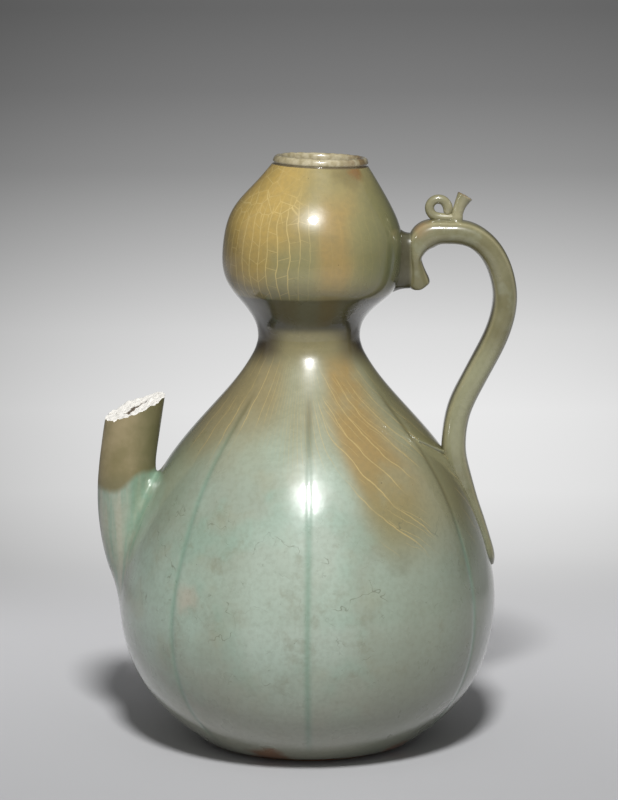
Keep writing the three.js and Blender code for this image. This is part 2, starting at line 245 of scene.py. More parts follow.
class Graph:
    """Adds and joins shader nodes with few words."""

    def __init__(self, name: str) -> None:
        """Starts a material of that name with only its place on the object."""
        self.material = bpy.data.materials.new(name)
        self.material.use_nodes = True
        self.tree = self.material.node_tree
        self.tree.nodes.clear()
        self.place = self.node("ShaderNodeTexCoord").outputs["Object"]
        axes = self.node("ShaderNodeSeparateXYZ", {}, {0: self.place})
        self.x, self.y, self.z = axes.outputs

    def node(self, kind: str, facts: dict | None = None, inputs: dict | None = None) -> bpy.types.Node:
        """Adds a node.

        Args:
            kind: Blender's name for the node.
            facts: Its settings.
            inputs: Input name or index to a number, a colour or another node's socket.

        Returns:
            The node.
        """
        made = self.tree.nodes.new(kind)
        for key, value in (facts or {}).items():
            setattr(made, key, value)
        for key, value in (inputs or {}).items():
            if isinstance(value, bpy.types.NodeSocket):
                self.tree.links.new(value, made.inputs[key])
            else:
                made.inputs[key].default_value = value
        return made

    def math(self, rule: str, *values: object) -> bpy.types.NodeSocket:
        """Arithmetic on numbers or sockets."""
        facts = {"operation": rule}
        return self.node("ShaderNodeMath", facts, dict(enumerate(values))).outputs[0]

    def plus(self, *values: object) -> bpy.types.NodeSocket:
        """Adds up two or more values."""
        total = values[0]
        for value in values[1:]:
            total = self.math("ADD", total, value)
        return total

    def minus(self, first: object, second: object) -> bpy.types.NodeSocket:
        """Takes the second value from the first."""
        return self.math("SUBTRACT", first, second)

    def times(self, *values: object) -> bpy.types.NodeSocket:
        """Multiplies two or more values."""
        total = values[0]
        for value in values[1:]:
            total = self.math("MULTIPLY", total, value)
        return total

    def ramp(
        self, value: object, low: float, high: float, start: float = 0, end: float = 1
    ) -> bpy.types.NodeSocket:
        """Goes smoothly from start to end as value goes from low to high."""
        facts = {"interpolation_type": "SMOOTHSTEP"}
        inputs = {"Value": value, "From Min": low, "From Max": high, "To Min": start, "To Max": end}
        return self.node("ShaderNodeMapRange", facts, inputs).outputs["Result"]

    def hump(self, value: object, low: float, high: float, soft: float) -> bpy.types.NodeSocket:
        """1 between low and high, and 0 past a soft margin outside them."""
        return self.times(self.ramp(value, low - soft, low), self.ramp(value, high, high + soft, 1, 0))

    def mix(self, share: object, first: object, second: object) -> bpy.types.NodeSocket:
        """Colour between first and second."""
        made = self.node("ShaderNodeMix", {"data_type": "RGBA"}, {0: share, 6: first, 7: second})
        return made.outputs[2]

    def noise(
        self, scale: float, detail: float = 3, place: object = None, rough: float = 0.5
    ) -> bpy.types.NodeSocket:
        """Cloudy noise between 0 and 1, with scale in waves for each metre."""
        inputs = {"Vector": place or self.place, "Scale": scale, "Detail": detail, "Roughness": rough}
        return self.node("ShaderNodeTexNoise", {}, inputs).outputs["Fac"]

    def sway(self, scale: float, reach: float) -> bpy.types.NodeSocket:
        """Noise of a scale that swings about as far as the reach to each side of 0."""
        return self.times(self.minus(self.noise(scale, 2), 0.5), 2 * reach)

    def cells(self, scale: float, feature: str) -> bpy.types.Node:
        """Voronoi cells, with scale in cells for each metre."""
        return self.node("ShaderNodeTexVoronoi", {"feature": feature}, {"Vector": self.place, "Scale": scale})

    def luck(self, first: object, second: object) -> bpy.types.NodeSocket:
        """An even random value for each pair of whole numbers."""
        facts = {"noise_dimensions": "2D"}
        pair = self.vector(first, second, 0.0)
        return self.node("ShaderNodeTexWhiteNoise", facts, {"Vector": pair}).outputs[0]

    def vector(self, x: object, y: object, z: object) -> bpy.types.NodeSocket:
        """Joins three numbers."""
        return self.node("ShaderNodeCombineXYZ", {}, {0: x, 1: y, 2: z}).outputs[0]

    def mark(self, name: str) -> bpy.types.NodeSocket:
        """Value that the mesh holds under a name."""
        return self.node("ShaderNodeAttribute", {"attribute_name": name}).outputs["Fac"]

    def polar(self) -> tuple[bpy.types.NodeSocket, bpy.types.NodeSocket]:
        """Way round the pot.

        Returns:
            -1 at the spout to 1 at the handle, and the angle from the front in radians.
        """
        radius = self.math("SQRT", self.plus(self.times(self.x, self.x), self.times(self.y, self.y)))
        return self.math("DIVIDE", self.x, radius), self.math("ARCTAN2", self.x, self.times(self.y, -1.0))

    def blob(
        self, centre: tuple[float, float, float], size: float, soft: float = 0.5
    ) -> bpy.types.NodeSocket:
        """1 near a place and 0 past a distance from it, with a ragged edge."""
        facts = {"operation": "DISTANCE"}
        gap = self.node("ShaderNodeVectorMath", facts, {0: self.place, 1: centre}).outputs["Value"]
        return self.ramp(self.plus(gap, self.sway(1.6 / size, size / 2)), size * (1 - soft), size, 1, 0)

    def bump(self, height: object, depth: float, before: object = None) -> bpy.types.NodeSocket:
        """Raises the surface's shading by a height from 0 to 1 times depth in metres."""
        inputs = {"Height": height, "Distance": depth, "Strength": 1.0}
        if before is not None:
            inputs["Normal"] = before
        return self.node("ShaderNodeBump", {}, inputs).outputs["Normal"]

    def surface(self, sockets: dict, constants: dict) -> bpy.types.NodeSocket:
        """Adds a surface shader.

        Args:
            sockets: Shader inputs that vary over the surface.
            constants: Shader inputs that are the same all over.

        Returns:
            The shader.
        """
        return self.node("ShaderNodeBsdfPrincipled", {}, {**sockets, **constants}).outputs[0]

    def blend(
        self, share: object, first: bpy.types.NodeSocket, second: bpy.types.NodeSocket
    ) -> bpy.types.NodeSocket:
        """Shader between first and second."""
        return self.node("ShaderNodeMixShader", {}, {0: share, 1: first, 2: second}).outputs[0]

    def finish(self, shader: bpy.types.NodeSocket) -> bpy.types.Material:
        """Ends the tree in a shader and returns the material."""
        self.node("ShaderNodeOutputMaterial", {}, {"Surface": shader})
        return self.material


@dataclass(frozen=True)
class Celadon:
    """Glossy grey-green glaze, yellowed and crackled where the kiln's air reached it."""

    zone: Zone
    pale: tuple = srgb(166, 184, 168)
    grey: tuple = srgb(156, 166, 149)
    mint: tuple = srgb(148, 175, 157)
    dun: tuple = srgb(150, 150, 122)
    ochre: tuple = srgb(157, 133, 84)
    tan: tuple = srgb(146, 131, 90)
    drab: tuple = srgb(141, 133, 94)
    olive: tuple = srgb(122, 117, 80)
    jade: tuple = srgb(122, 154, 134)
    moss: tuple = srgb(100, 94, 60)
    # Painted shade at the sides of the waist band.
    umber_side_shade: tuple = srgb(64, 54, 36)
    amber: tuple = srgb(196, 174, 116)
    iron: tuple = srgb(66, 52, 36)
    rust: tuple = srgb(150, 92, 52)
    crack_width: float = 0.17 * MM
    upper_rails: int = 52
    shoulder_rails: int = 37

    def build(self) -> bpy.types.Material:
        """Builds the glaze for this zone.

        Returns:
            The material.
        """
        g = Graph(f"celadon_{self.zone.value}")
        return g.finish(self.surface(g))

    def surface(self, g: Graph) -> bpy.types.NodeSocket:
        """Adds the glaze's shader to a graph.

        Args:
            g: The graph.

        Returns:
            The shader.
        """
        broad = g.noise(17, 3)
        patch = g.noise(60, 4)
        colour = {
            Zone.LOWER: self.lower,
            Zone.UPPER: self.upper,
            Zone.HANDLE: self.handle,
            Zone.SPOUT: self.spout,
            Zone.LIP: self.lip,
        }[self.zone](g, broad, patch)
        if self.zone in (Zone.LOWER, Zone.UPPER):
            # Brown waist band with painted shade at its sides, and a painted shadow under the upper bulb.
            colour = self.waist(g, colour)
        colour = g.mix(g.ramp(g.noise(420, 3), 0.35, 0.75, 0, 0.16), colour, srgb(104, 104, 80))
        colour = self.specks(g, colour)
        swell = g.bump(broad, 0.0011)
        peel = g.bump(g.noise(260, 2), 0.00004, swell)
        sockets = {"Base Color": colour, "Normal": peel, "Roughness": g.ramp(patch, 0.3, 0.7, 0.26, 0.36)}
        constants = {"IOR": 1.5, "Coat Weight": 1.0, "Coat Roughness": 0.06, "Coat IOR": 1.5}
        return g.surface(sockets, constants)

    def specks(self, g: Graph, colour: object) -> bpy.types.NodeSocket:
        """Iron specks and tiny pits, a few to each hand's breadth."""
        for scale, spread, least in ((85, 0.11, 0.062), (190, 0.2, 0.125)):
            cells = g.cells(scale, "F1")
            size = g.minus(g.times(cells.outputs["Color"], spread), least)
            dot = g.math("LESS_THAN", cells.outputs["Distance"], size)
            colour = g.mix(g.times(dot, 0.55), colour, self.iron)
        return colour

    def rails(self, g: Graph, count: object, width: float) -> bpy.types.NodeSocket:
        """Thin lines where a running count passes whole numbers.

        Args:
            g: The graph.
            count: The running count.
            width: Half a line's width, in counts.

        Returns:
            1 on a line and 0 beside it.
        """
        offset = g.math("ABSOLUTE", g.minus(g.math("FRACT", count), 0.5))
        return g.ramp(offset, 0.5 - width, 0.5 - width * 0.35)

    def ladder(
        self, g: Graph, count: object, width: float, rung: float, missing: float
    ) -> bpy.types.NodeSocket:
        """Upright cracks, with slanted rungs between them at uneven heights.

        Args:
            g: The graph.
            count: Running count of the upright cracks round the pot.
            width: Half a crack's width, in counts.
            rung: Mean height between two rungs, in metres.
            missing: Share of the rungs that are left out.

        Returns:
            1 on a crack and 0 beside it.
        """
        upright = self.rails(g, count, width)
        column = g.math("FLOOR", count)
        luck = g.luck(column, 3.0)
        slant = g.times(g.minus(luck, 0.5), g.math("FRACT", count))
        level = g.plus(g.times(g.z, 1 / rung), g.times(luck, 9.0), slant)
        present = g.math("GREATER_THAN", g.luck(column, g.math("FLOOR", level)), missing)
        across = g.times(self.rails(g, level, self.crack_width / rung), present)
        return g.math("MAXIMUM", upright, across)

    def waist(self, g: Graph, colour: object) -> bpy.types.NodeSocket:
        """Brown band round the waist, painted darker towards the sides as shade, and a painted shadow under
        the upper bulb.
        """
        side = g.math("ABSOLUTE", g.minus(g.polar()[0], 0.06))
        # Brown at the front, painted darker towards the sides as shade.
        collar_with_side_shade = g.mix(g.ramp(g.plus(side, g.sway(60, 0.1)), 0.35, 0.95), srgb(134, 126, 90), self.umber_side_shade)
        colour = g.mix(g.hump(g.z, 0.199, 0.209, 0.013), colour, collar_with_side_shade)
        # Painted shadow under the upper bulb, darker towards the sides.
        shade = g.mix(g.ramp(side, 0.1, 0.9), srgb(78, 74, 50), srgb(62, 60, 44))
        place = g.plus(g.z, g.sway(26, 0.0012))
        under = g.times(g.ramp(place, 0.2055, 0.2095), g.ramp(place, 0.2231, 0.2246, 1, 0))
        return g.mix(g.times(under, 0.88), colour, shade)

    def lower(self, g: Graph, broad: object, patch: object) -> bpy.types.NodeSocket:
        """Pale blue-green belly, ochre and olive on the shoulder and further down on the right."""
        side, angle = g.polar()
        colour = g.mix(g.ramp(broad, 0.4, 0.6), self.pale, self.grey)
        colour = g.mix(g.ramp(g.noise(33, 3), 0.5, 0.68, 0, 0.7), colour, self.mint)
        colour = g.mix(g.ramp(patch, 0.48, 0.75, 0, 0.4), colour, srgb(158, 158, 132))
        belt = g.hump(g.z, 0.07, 0.11, 0.03)
        colour = g.mix(g.times(g.hump(side, -0.25, 0.1, 0.25), belt, 0.6), colour, srgb(180, 194, 180))
        # Painted bounce light from the floor: paler towards the foot.
        colour = g.mix(g.ramp(g.z, 0.065, 0.015, 0, 0.75), colour, srgb(178, 176, 160))
        colour = g.mix(g.ramp(side, 0.1, 0.6, 0, 0.7), colour, srgb(142, 148, 130))
        colour = g.mix(g.ramp(side, 0.6, 0.98, 0, 0.7), colour, srgb(106, 112, 94))
        left = g.times(g.ramp(side, -0.5, -0.9, 0, 0.6), g.ramp(g.z, 0.1, 0.13))
        colour = g.mix(left, colour, srgb(126, 132, 104))
        front = g.times(g.hump(side, -0.12, 0.1, 0.16), 0.006)
        height = g.plus(g.z, g.ramp(side, 0.14, 0.5, 0, 0.044), front, g.sway(17, 0.016))
        toasted = g.ramp(height, 0.134, 0.174)
        streak = g.mix(g.ramp(g.z, 0.115, 0.16), self.drab, self.ochre)
        warm = g.mix(g.hump(g.plus(side, g.sway(20, 0.12)), 0.4, 0.58, 0.28), self.dun, streak)
        warm = g.mix(g.ramp(side, -0.2, -0.5, 0, 0.8), warm, self.tan)
        warm = g.mix(g.ramp(side, 0.74, 0.95, 0, 0.9), warm, self.olive)
        warm = g.mix(g.ramp(g.noise(48, 4), 0.5, 0.7, 0, 0.4), warm, self.dun)
        colour = g.mix(toasted, colour, warm)
        lines = self.shoulder_cracks(g, side, angle)
        colour = g.mix(g.times(lines, g.ramp(height, 0.142, 0.164, 0, 0.75)), colour, self.amber)
        colour = self.blemishes(g, colour)
        pool = g.mix(toasted, self.jade, self.moss)
        return g.mix(g.times(g.mark(GROOVE), 0.6), colour, pool)

    def shoulder_cracks(self, g: Graph, side: object, angle: object) -> bpy.types.NodeSocket:
        """Long cracks down the shoulder, which wind towards the handle on its front and right."""
        wind = g.times(g.z, g.ramp(side, -0.55, 0.2, 0, 74.0))
        count = g.plus(g.times(angle, self.shoulder_rails / TURN), wind, g.sway(32, 0.5), g.sway(110, 0.1))
        some = g.ramp(g.noise(21, 2), 0.42, 0.54)
        branch = g.plus(g.times(count, 1.7), g.times(g.z, 45.0), g.sway(60, 0.4))
        twigs = g.times(self.rails(g, branch, 0.045), g.ramp(g.noise(40, 2), 0.52, 0.6, 0, 0.7))
        return g.times(g.math("MAXIMUM", self.rails(g, count, 0.04), twigs), some)

    def blemishes(self, g: Graph, colour: object) -> bpy.types.NodeSocket:
        """Scuffs from use, a pink blush, smudges and the rusty spots at the foot."""
        belt = g.hump(g.z, 0.055, 0.115, 0.03)
        for scale, share in ((26, 0.5), (47, 0.4)):
            thin = g.math("ABSOLUTE", g.minus(g.noise(scale, 4), 0.5))
            some = g.ramp(g.noise(scale * 2.3, 2, rough=0.7), 0.52, 0.58)
            scuff = g.times(g.ramp(thin, 0.0008, 0.0034, 1, 0), some, belt, share)
            colour = g.mix(scuff, colour, srgb(96, 98, 80))
        haze = g.times(g.ramp(g.noise(70, 4, rough=0.7), 0.55, 0.7, 0, 0.3), belt)
        colour = g.mix(haze, colour, srgb(130, 128, 104))
        colour = g.mix(g.times(g.blob((-0.06, -0.072, 0.086), 0.011, 0.9), 0.4), colour, srgb(196, 170, 152))
        colour = g.mix(g.times(g.blob((0.045, -0.08, 0.104), 0.01, 0.9), 0.4), colour, srgb(104, 102, 78))
        for centre, size in (((-0.018, -0.052, 0.0045), 0.013), ((0.041, -0.037, 0.0045), 0.009)):
            colour = g.mix(g.times(g.blob(centre, size, 0.6), 0.8), colour, self.rust)
        return colour

    def upper(self, g: Graph, broad: object, patch: object) -> bpy.types.NodeSocket:
        """Mustard on the left, a toasted streak right of the middle and green past it, with painted shade at
        both edges.
        """
        angle = g.polar()[1]
        side = g.minus(g.x, g.times(g.minus(g.z, 0.21), 0.085))
        side = g.plus(side, g.sway(26, 0.006), g.sway(90, 0.002))
        colour = g.mix(g.ramp(side, -0.03, 0.006), srgb(166, 143, 82), srgb(152, 141, 96))
        streak = g.times(g.hump(side, 0.005, 0.012, 0.008), g.hump(g.z, 0.232, 0.262, 0.018))
        colour = g.mix(g.times(streak, 0.7), colour, srgb(166, 138, 84))
        colour = g.mix(g.ramp(side, 0.012, 0.028), colour, srgb(130, 127, 86))
        # Deeper green towards the right edge, partly the glaze's colour and partly painted shade.
        colour = g.mix(g.ramp(side, 0.026, 0.044), colour, srgb(98, 104, 70))
        green = g.times(g.hump(side, -0.018, -0.004, 0.009), g.hump(g.z, 0.224, 0.243, 0.014))
        colour = g.mix(g.times(green, 0.6), colour, srgb(134, 134, 96))
        low = g.plus(g.z, g.sway(60, 0.006))
        colour = g.mix(g.ramp(low, 0.222, 0.238, 0.7, 0), colour, srgb(136, 130, 96))
        gold = g.times(g.hump(side, -0.03, -0.02, 0.018), g.hump(g.z, 0.258, 0.284, 0.016))
        colour = g.mix(g.times(gold, 0.65), colour, srgb(190, 160, 88))
        # Painted shade: darker at the left edge, more so lower down.
        dim = g.times(g.ramp(side, -0.03, -0.042), g.ramp(g.z, 0.262, 0.24))
        colour = g.mix(g.times(dim, 0.6), colour, srgb(122, 102, 58))
        smoke = g.blob((0.018, -0.02, 0.28), 0.014, 0.9)
        colour = g.mix(g.times(smoke, 0.5), colour, srgb(106, 92, 58))
        scorch = g.blob((0.0225, -0.0175, 0.2835), 0.0065, 0.8)
        colour = g.mix(g.times(scorch, 0.7), colour, srgb(134, 92, 48))
        colour = g.mix(g.ramp(patch, 0.5, 0.8, 0, 0.3), colour, srgb(122, 114, 76))
        count = g.plus(g.times(angle, self.upper_rails / TURN), g.sway(34, 0.7), g.sway(120, 0.12))
        lines = self.ladder(g, count, 0.065, 0.0085, 0.3)
        net = g.ramp(g.cells(150, "DISTANCE_TO_EDGE").outputs["Distance"], 0.015, 0.035, 1, 0)
        net = g.times(net, g.ramp(g.z, 0.258, 0.266), g.ramp(side, -0.004, -0.014))
        lines = g.math("MAXIMUM", g.times(lines, g.ramp(g.z, 0.272, 0.262, 0.35, 1)), net)
        some = g.ramp(g.noise(30, 2), 0.34, 0.48, 0.3, 1)
        shown = g.times(lines, some, g.ramp(side, -0.014, 0.004, 0.75, 0.06))
        shown = g.times(shown, g.ramp(g.z, 0.221, 0.226))
        return g.mix(shown, colour, srgb(204, 182, 120))

    def handle(self, g: Graph, broad: object, patch: object) -> bpy.types.NodeSocket:
        """Olive-green, paler where the glaze is thin, and beige on the coil and the stub, with painted shade
        on the strap's inner face and in the gap by the upper bulb.
        """
        colour = g.mix(g.ramp(patch, 0.35, 0.65), srgb(132, 128, 98), srgb(116, 111, 78))
        colour = g.mix(g.ramp(g.noise(150, 3), 0.5, 0.7, 0, 0.4), colour, srgb(144, 146, 122))
        colour = g.mix(g.hump(g.z, 0.15, 0.185, 0.02), colour, srgb(150, 149, 118))
        colour = g.mix(g.ramp(g.z, 0.1, 0.15, 0.5, 0), colour, srgb(130, 134, 108))
        # Painted shade on the strap's inner face.
        colour = g.mix(g.times(g.mark(INNER_SHADE), 0.75), colour, srgb(84, 74, 48))
        colour = g.mix(g.times(g.mark(GROOVE), 0.55), colour, srgb(182, 174, 136))
        # Painted shade in the recess between the upper bulb and the strap.
        gap = g.times(g.ramp(g.x, 0.0482, 0.0506, 1, 0), g.ramp(g.z, 0.2, 0.21))
        colour = g.mix(g.times(gap, 0.9), colour, srgb(66, 62, 42))
        bead = g.mix(g.ramp(patch, 0.4, 0.65), srgb(158, 152, 120), srgb(134, 130, 100))
        colour = g.mix(g.ramp(g.z, 0.2583, 0.2605), colour, bead)
        warm = g.blob((0.055, -0.006, 0.256), 0.008, 0.9)
        return g.mix(g.times(warm, 0.6), colour, srgb(160, 128, 90))

    def spout(self, g: Graph, broad: object, patch: object) -> bpy.types.NodeSocket:
        """Pale green with fine streaks that run down to the root."""
        place = g.vector(g.times(g.x, 260.0), g.times(g.y, 260.0), g.times(g.z, 20.0))
        streaks = g.noise(1.0, 3, place)
        colour = g.mix(g.ramp(streaks, 0.36, 0.64), srgb(146, 166, 148), srgb(172, 174, 155))
        green = g.ramp(g.plus(g.x, g.sway(80, 0.003)), -0.094, -0.084)
        colour = g.mix(g.times(green, 0.5), colour, srgb(122, 158, 130))
        spot = g.blob((-0.0975, -0.0082, 0.1105), 0.0022, 0.8)
        return g.mix(g.times(spot, 0.8), colour, self.rust)

    def lip(self, g: Graph, broad: object, patch: object) -> bpy.types.NodeSocket:
        """Worn cream lip over a brown line, rusty on the right."""
        colour = g.mix(g.ramp(g.noise(330, 4), 0.35, 0.7), srgb(190, 180, 150), srgb(158, 146, 112))
        colour = g.mix(g.ramp(g.x, -0.004, -0.018, 0, 0.5), colour, srgb(150, 136, 98))
        rusty = g.times(g.ramp(g.x, 0.012, 0.026), g.ramp(g.noise(90, 3), 0.38, 0.52))
        colour = g.mix(g.times(rusty, 0.8), colour, srgb(112, 86, 48))
        return g.mix(g.times(g.mark(GROOVE), 0.85), colour, srgb(84, 70, 44))


@dataclass(frozen=True)
class RestoredSkin:
    """Brown-olive satin paint of an old repair over the top of the spout."""

    colour: tuple = srgb(160, 146, 112)
    shade: tuple = srgb(134, 124, 88)
    edge: float = 126.5 * MM
    soft: float = 2.2 * MM

    def surface(self, g: Graph) -> bpy.types.NodeSocket:
        """Adds the paint's shader to a graph."""
        colour = g.mix(g.ramp(g.noise(90, 4), 0.3, 0.7), self.colour, self.shade)
        # Painted shade: darker on the side towards the pot.
        colour = g.mix(g.ramp(g.x, -0.09, -0.076, 0, 0.7), colour, srgb(104, 104, 70))
        colour = g.mix(g.ramp(g.z, self.edge, self.edge + 0.012, 0.7, 0), colour, srgb(118, 114, 86))
        rough = g.ramp(g.noise(120, 2), 0.3, 0.7, 0.4, 0.55)
        sockets = {"Base Color": colour, "Normal": g.bump(g.noise(500, 3), 0.00004), "Roughness": rough}
        return g.surface(sockets, {"IOR": 1.45})

    def over(self, glaze: Celadon) -> bpy.types.Material:
        """Builds the paint over a glaze, with the soft edge in which it ends.

        Args:
            glaze: The glaze that shows below the paint.

        Returns:
            The material.
        """
        g = Graph("restored_skin_over_glaze")
        height = g.minus(g.plus(g.z, g.sway(110, 2 * MM)), g.ramp(g.x, -0.096, -0.08, 0, 0.009))
        share = g.ramp(height, self.edge - self.soft, self.edge + self.soft)
        return g.finish(g.blend(share, glaze.surface(g), self.surface(g)))


@dataclass(frozen=True)
class OldPlaster:
    """White crumbly plaster with dirt in its pits."""

    white: tuple = srgb(240, 237, 230)
    dirt: tuple = srgb(132, 118, 102)
    hollow: tuple = srgb(74, 64, 54)

    def build(self) -> bpy.types.Material:
        """Builds the plaster."""
        g = Graph("old_plaster")
        grain = g.noise(620, 5, rough=0.65)
        pits = g.cells(780, "F1").outputs["Distance"]
        dirty = g.times(g.ramp(grain, 0.3, 0.42, 1, 0), 0.6)
        colour = g.mix(dirty, self.white, self.dirt)
        # Dark brown in the slot.
        brown = g.mix(g.ramp(grain, 0.4, 0.6), self.hollow, srgb(128, 116, 102))
        colour = g.mix(g.ramp(g.mark(SLOT), 0.12, 0.4), colour, brown)
        normal = g.bump(pits, 0.0002, g.bump(grain, 0.0004))
        sockets = {"Base Color": colour, "Normal": normal, "Roughness": g.ramp(grain, 0.3, 0.7, 0.8, 0.98)}
        return g.finish(g.surface(sockets, {"IOR": 1.45, "Specular IOR Level": 0.25}))


@dataclass(frozen=True)
class FiredClay:
    """Bare stoneware that burnt rusty where the glaze was wiped off."""

    brown: tuple = srgb(146, 112, 82)
    rust: tuple = srgb(168, 104, 66)

    def build(self) -> bpy.types.Material:
        """Builds the clay."""
        g = Graph("fired_clay")
        grain = g.noise(340, 5, rough=0.7)
        colour = g.mix(g.ramp(g.noise(45, 3), 0.4, 0.65), self.brown, self.rust)
        colour = g.mix(g.ramp(grain, 0.5, 0.72, 0, 0.6), colour, srgb(84, 68, 54))
        rough = g.ramp(grain, 0.3, 0.7, 0.7, 0.9)
        sockets = {"Base Color": colour, "Normal": g.bump(grain, 0.0004), "Roughness": rough}
        return g.finish(g.surface(sockets, {"IOR": 1.45}))


@dataclass
class Pot:
    """The two thrown bulbs as surfaces of revolution, in metres."""

    base_radius: float = 55 * MM
    wall: float = 5 * MM
    lean: float = math.radians(4.9)
    lean_start: float = 2.5 * MM
    lean_end: float = 37 * MM
    upper_height: float = 84 * MM
    neck_radius: float = 23.6 * MM
    waist_flare: float = 0.35 * MM
    level_turn: float = math.radians(2.9)
    level_start: float = 262 * MM
    level_end: float = 284 * MM
    lower_shape: tuple = (
        (0.775, 0.105), (1, 0.335), (0.881, 0.54), (0.641, 0.708), (0.269, 0.862), (0.051, 0.962),
        (0.018, 0.985),
    )
    upper_shape: tuple = (
        (0.006, 0.022), (0.032, 0.054), (0.389, 0.179), (0.879, 0.31), (1, 0.488), (0.905, 0.649),
        (0.611, 0.786), (0.295, 0.887),
    )
    lower_line: np.ndarray = field(init=False)
    upper_line: np.ndarray = field(init=False)

    def __post_init__(self) -> None:
        """Takes the bulbs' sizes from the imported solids."""
        low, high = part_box("lower_bulb")
        lute_low, lute_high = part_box("waist_lute")
        self.foot_z, self.lower_top, self.upper_base = low.z, lute_low.z, lute_high.z
        self.lower_radius = (high.y - low.y) / 2
        self.waist_radius = (lute_high.x - lute_low.x) / 2
        upper_low, upper_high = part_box("upper_bulb")
        self.upper_radius = (upper_high.y - upper_low.y) / 2
        ends = ((self.base_radius, self.foot_z), (self.waist_radius + self.waist_flare, self.lower_top))
        self.lower_line = self.outline(*ends, self.lower_radius, self.lower_shape, 400)
        ends = ((self.waist_radius, 0.0), (self.neck_radius, self.upper_height))
        self.upper_line = self.outline(*ends, self.upper_radius, self.upper_shape, 260)

    def outline(self, start: tuple, end: tuple, full: float, shape: tuple, count: int) -> np.ndarray:
        """Outline through shares of the full radius and of the height.

        Args:
            start, end: Radius and height at the two ends.
            full: Largest radius.
            shape: Shares of the way from the waist's radius to full, and of the height.
            count: Points to return.

        Returns:
            Rows of radius and height.
        """
        wide, tall = full - self.waist_radius, end[1] - start[1]
        between = [(self.waist_radius + wide * r, start[1] + tall * h) for r, h in shape]
        return smooth_line([start, *between, end], count)

    def radius_at(self, z: np.ndarray) -> np.ndarray:
        """Radius of the lower bulb at a height."""
        return np.interp(z, self.lower_line[:, 1], self.lower_line[:, 0])

    def slope_at(self, z: np.ndarray) -> np.ndarray:
        """How fast the lower bulb's radius grows with height."""
        step = 0.5 * MM
        return (self.radius_at(z + step) - self.radius_at(z - step)) / (2 * step)

    def spine(self, height: np.ndarray) -> tuple[np.ndarray, np.ndarray, np.ndarray]:
        """Middle line of the leaning upper bulb.

        Args:
            height: Heights over the waist, measured along the line.

        Returns:
            Its x, its z and its angle from upright.
        """
        grid = np.linspace(0, self.upper_height * 1.2, 900)
        angle = self.lean * smooth(grid, self.lean_start, self.lean_end)
        step = grid[1] - grid[0]
        x = np.concatenate([[0], np.cumsum(np.sin(angle[:-1]) * step)])
        z = self.upper_base + np.concatenate([[0], np.cumsum(np.cos(angle[:-1]) * step)])
        return np.interp(height, grid, x), np.interp(height, grid, z), np.interp(height, grid, angle)

    def lean_rings(self, profile: np.ndarray, angles: np.ndarray) -> np.ndarray:
        """Rings of the leaning bulb from rows of radius and height."""
        x, z, tilt = (value[:, None] for value in self.spine(profile[:, 1]))
        out = profile[:, 0:1] * np.sin(angles)
        side = -profile[:, 0:1] * np.cos(angles)
        rings = np.stack([x + out * np.cos(tilt), side, z - out * np.sin(tilt)], axis=2)
        level = smooth(rings[..., 2], self.level_start, self.level_end)
        rings[..., 2] += ((rings[..., 0] - x) * math.tan(self.level_turn) - 0.4 * MM) * level
        return rings

    def upper_skin_x(self, y: np.ndarray, z: np.ndarray) -> np.ndarray:
        """How far out the leaning bulb's surface lies on the handle's side.

        Args:
            y, z: Places to look at.

        Returns:
            The surface's x at each of them.
        """
        height = z - self.upper_base
        for _ in range(8):
            radius = np.interp(height, self.upper_line[:, 1], self.upper_line[:, 0])
            out = np.sqrt(np.maximum(radius**2 - y**2, 0))
            x, level, tilt = self.spine(height)
            height = height + z - (level - out * np.sin(tilt))
        return x + out * np.cos(tilt)

    def onto_lower(self, points: np.ndarray, lift: float = 0.0) -> np.ndarray:
        """Moves points level to the lower bulb's surface, or a lift above it."""
        flat = np.hypot(points[:, 0], points[:, 1])
        scale = (self.radius_at(points[:, 2]) + lift) / flat
        return points * np.stack([scale, scale, np.ones_like(scale)], axis=1)


def inner_line(line: np.ndarray, wall: float) -> np.ndarray:
    """Outline moved square to itself by the wall, towards the inside."""
    along = np.gradient(line, axis=0)
    along /= np.linalg.norm(along, axis=1)[:, None]
    return line + np.stack([-along[:, 1], along[:, 0]], axis=1) * wall


def settle(thing: bpy.types.Object) -> None:
    """Bulges the belly a little to the spout's side, as the soft pot settled before it was fired."""
    reach, height, soft = 0.8 * MM, 62 * MM, 45 * MM
    count = len(thing.data.vertices)
    flat = np.zeros(count * 3, np.float32)
    thing.data.vertices.foreach_get("co", flat)
    points = flat.reshape(count, 3)
    points[:, 0] -= reach * np.exp(-(((points[:, 2] - height) / soft) ** 2))
    thing.data.vertices.foreach_set("co", points.ravel())
    thing.data.update()


def dress(thing: bpy.types.Object, slot: str, nodes: tuple[str, ...], *finishes: bpy.types.Material) -> None:
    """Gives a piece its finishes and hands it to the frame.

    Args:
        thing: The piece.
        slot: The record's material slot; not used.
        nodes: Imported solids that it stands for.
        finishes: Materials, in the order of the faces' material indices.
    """
    settle(thing)
    if not thing.data.materials:
        for finish in finishes:
            thing.data.materials.append(finish)
    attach(thing, BODY)
    if nodes:
        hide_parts(*nodes)
    LOG.info("%s: %d faces", thing.name, len(thing.data.polygons))


def through_nodes(thing: bpy.types.Object, tree: bpy.types.NodeTree, values: dict[str, object]) -> None:
    """Runs a Geometry Nodes tree on a piece and keeps its plain mesh.

    Args:
        thing: The piece.
        tree: The tree.
        values: Values of the tree's named inputs.
    """
    modifier = thing.modifiers.new(tree.name, "NODES")
    modifier.node_group = tree
    for item in tree.interface.items_tree:
        if item.item_type == "SOCKET" and item.in_out == "INPUT" and item.name in values:
            modifier[item.identifier] = values[item.name]
    bpy.context.view_layer.update()
    graph = bpy.context.evaluated_depsgraph_get()
    made = bpy.data.meshes.new_from_object(thing.evaluated_get(graph), depsgraph=graph)
    thing.modifiers.remove(modifier)
    thing.data = made


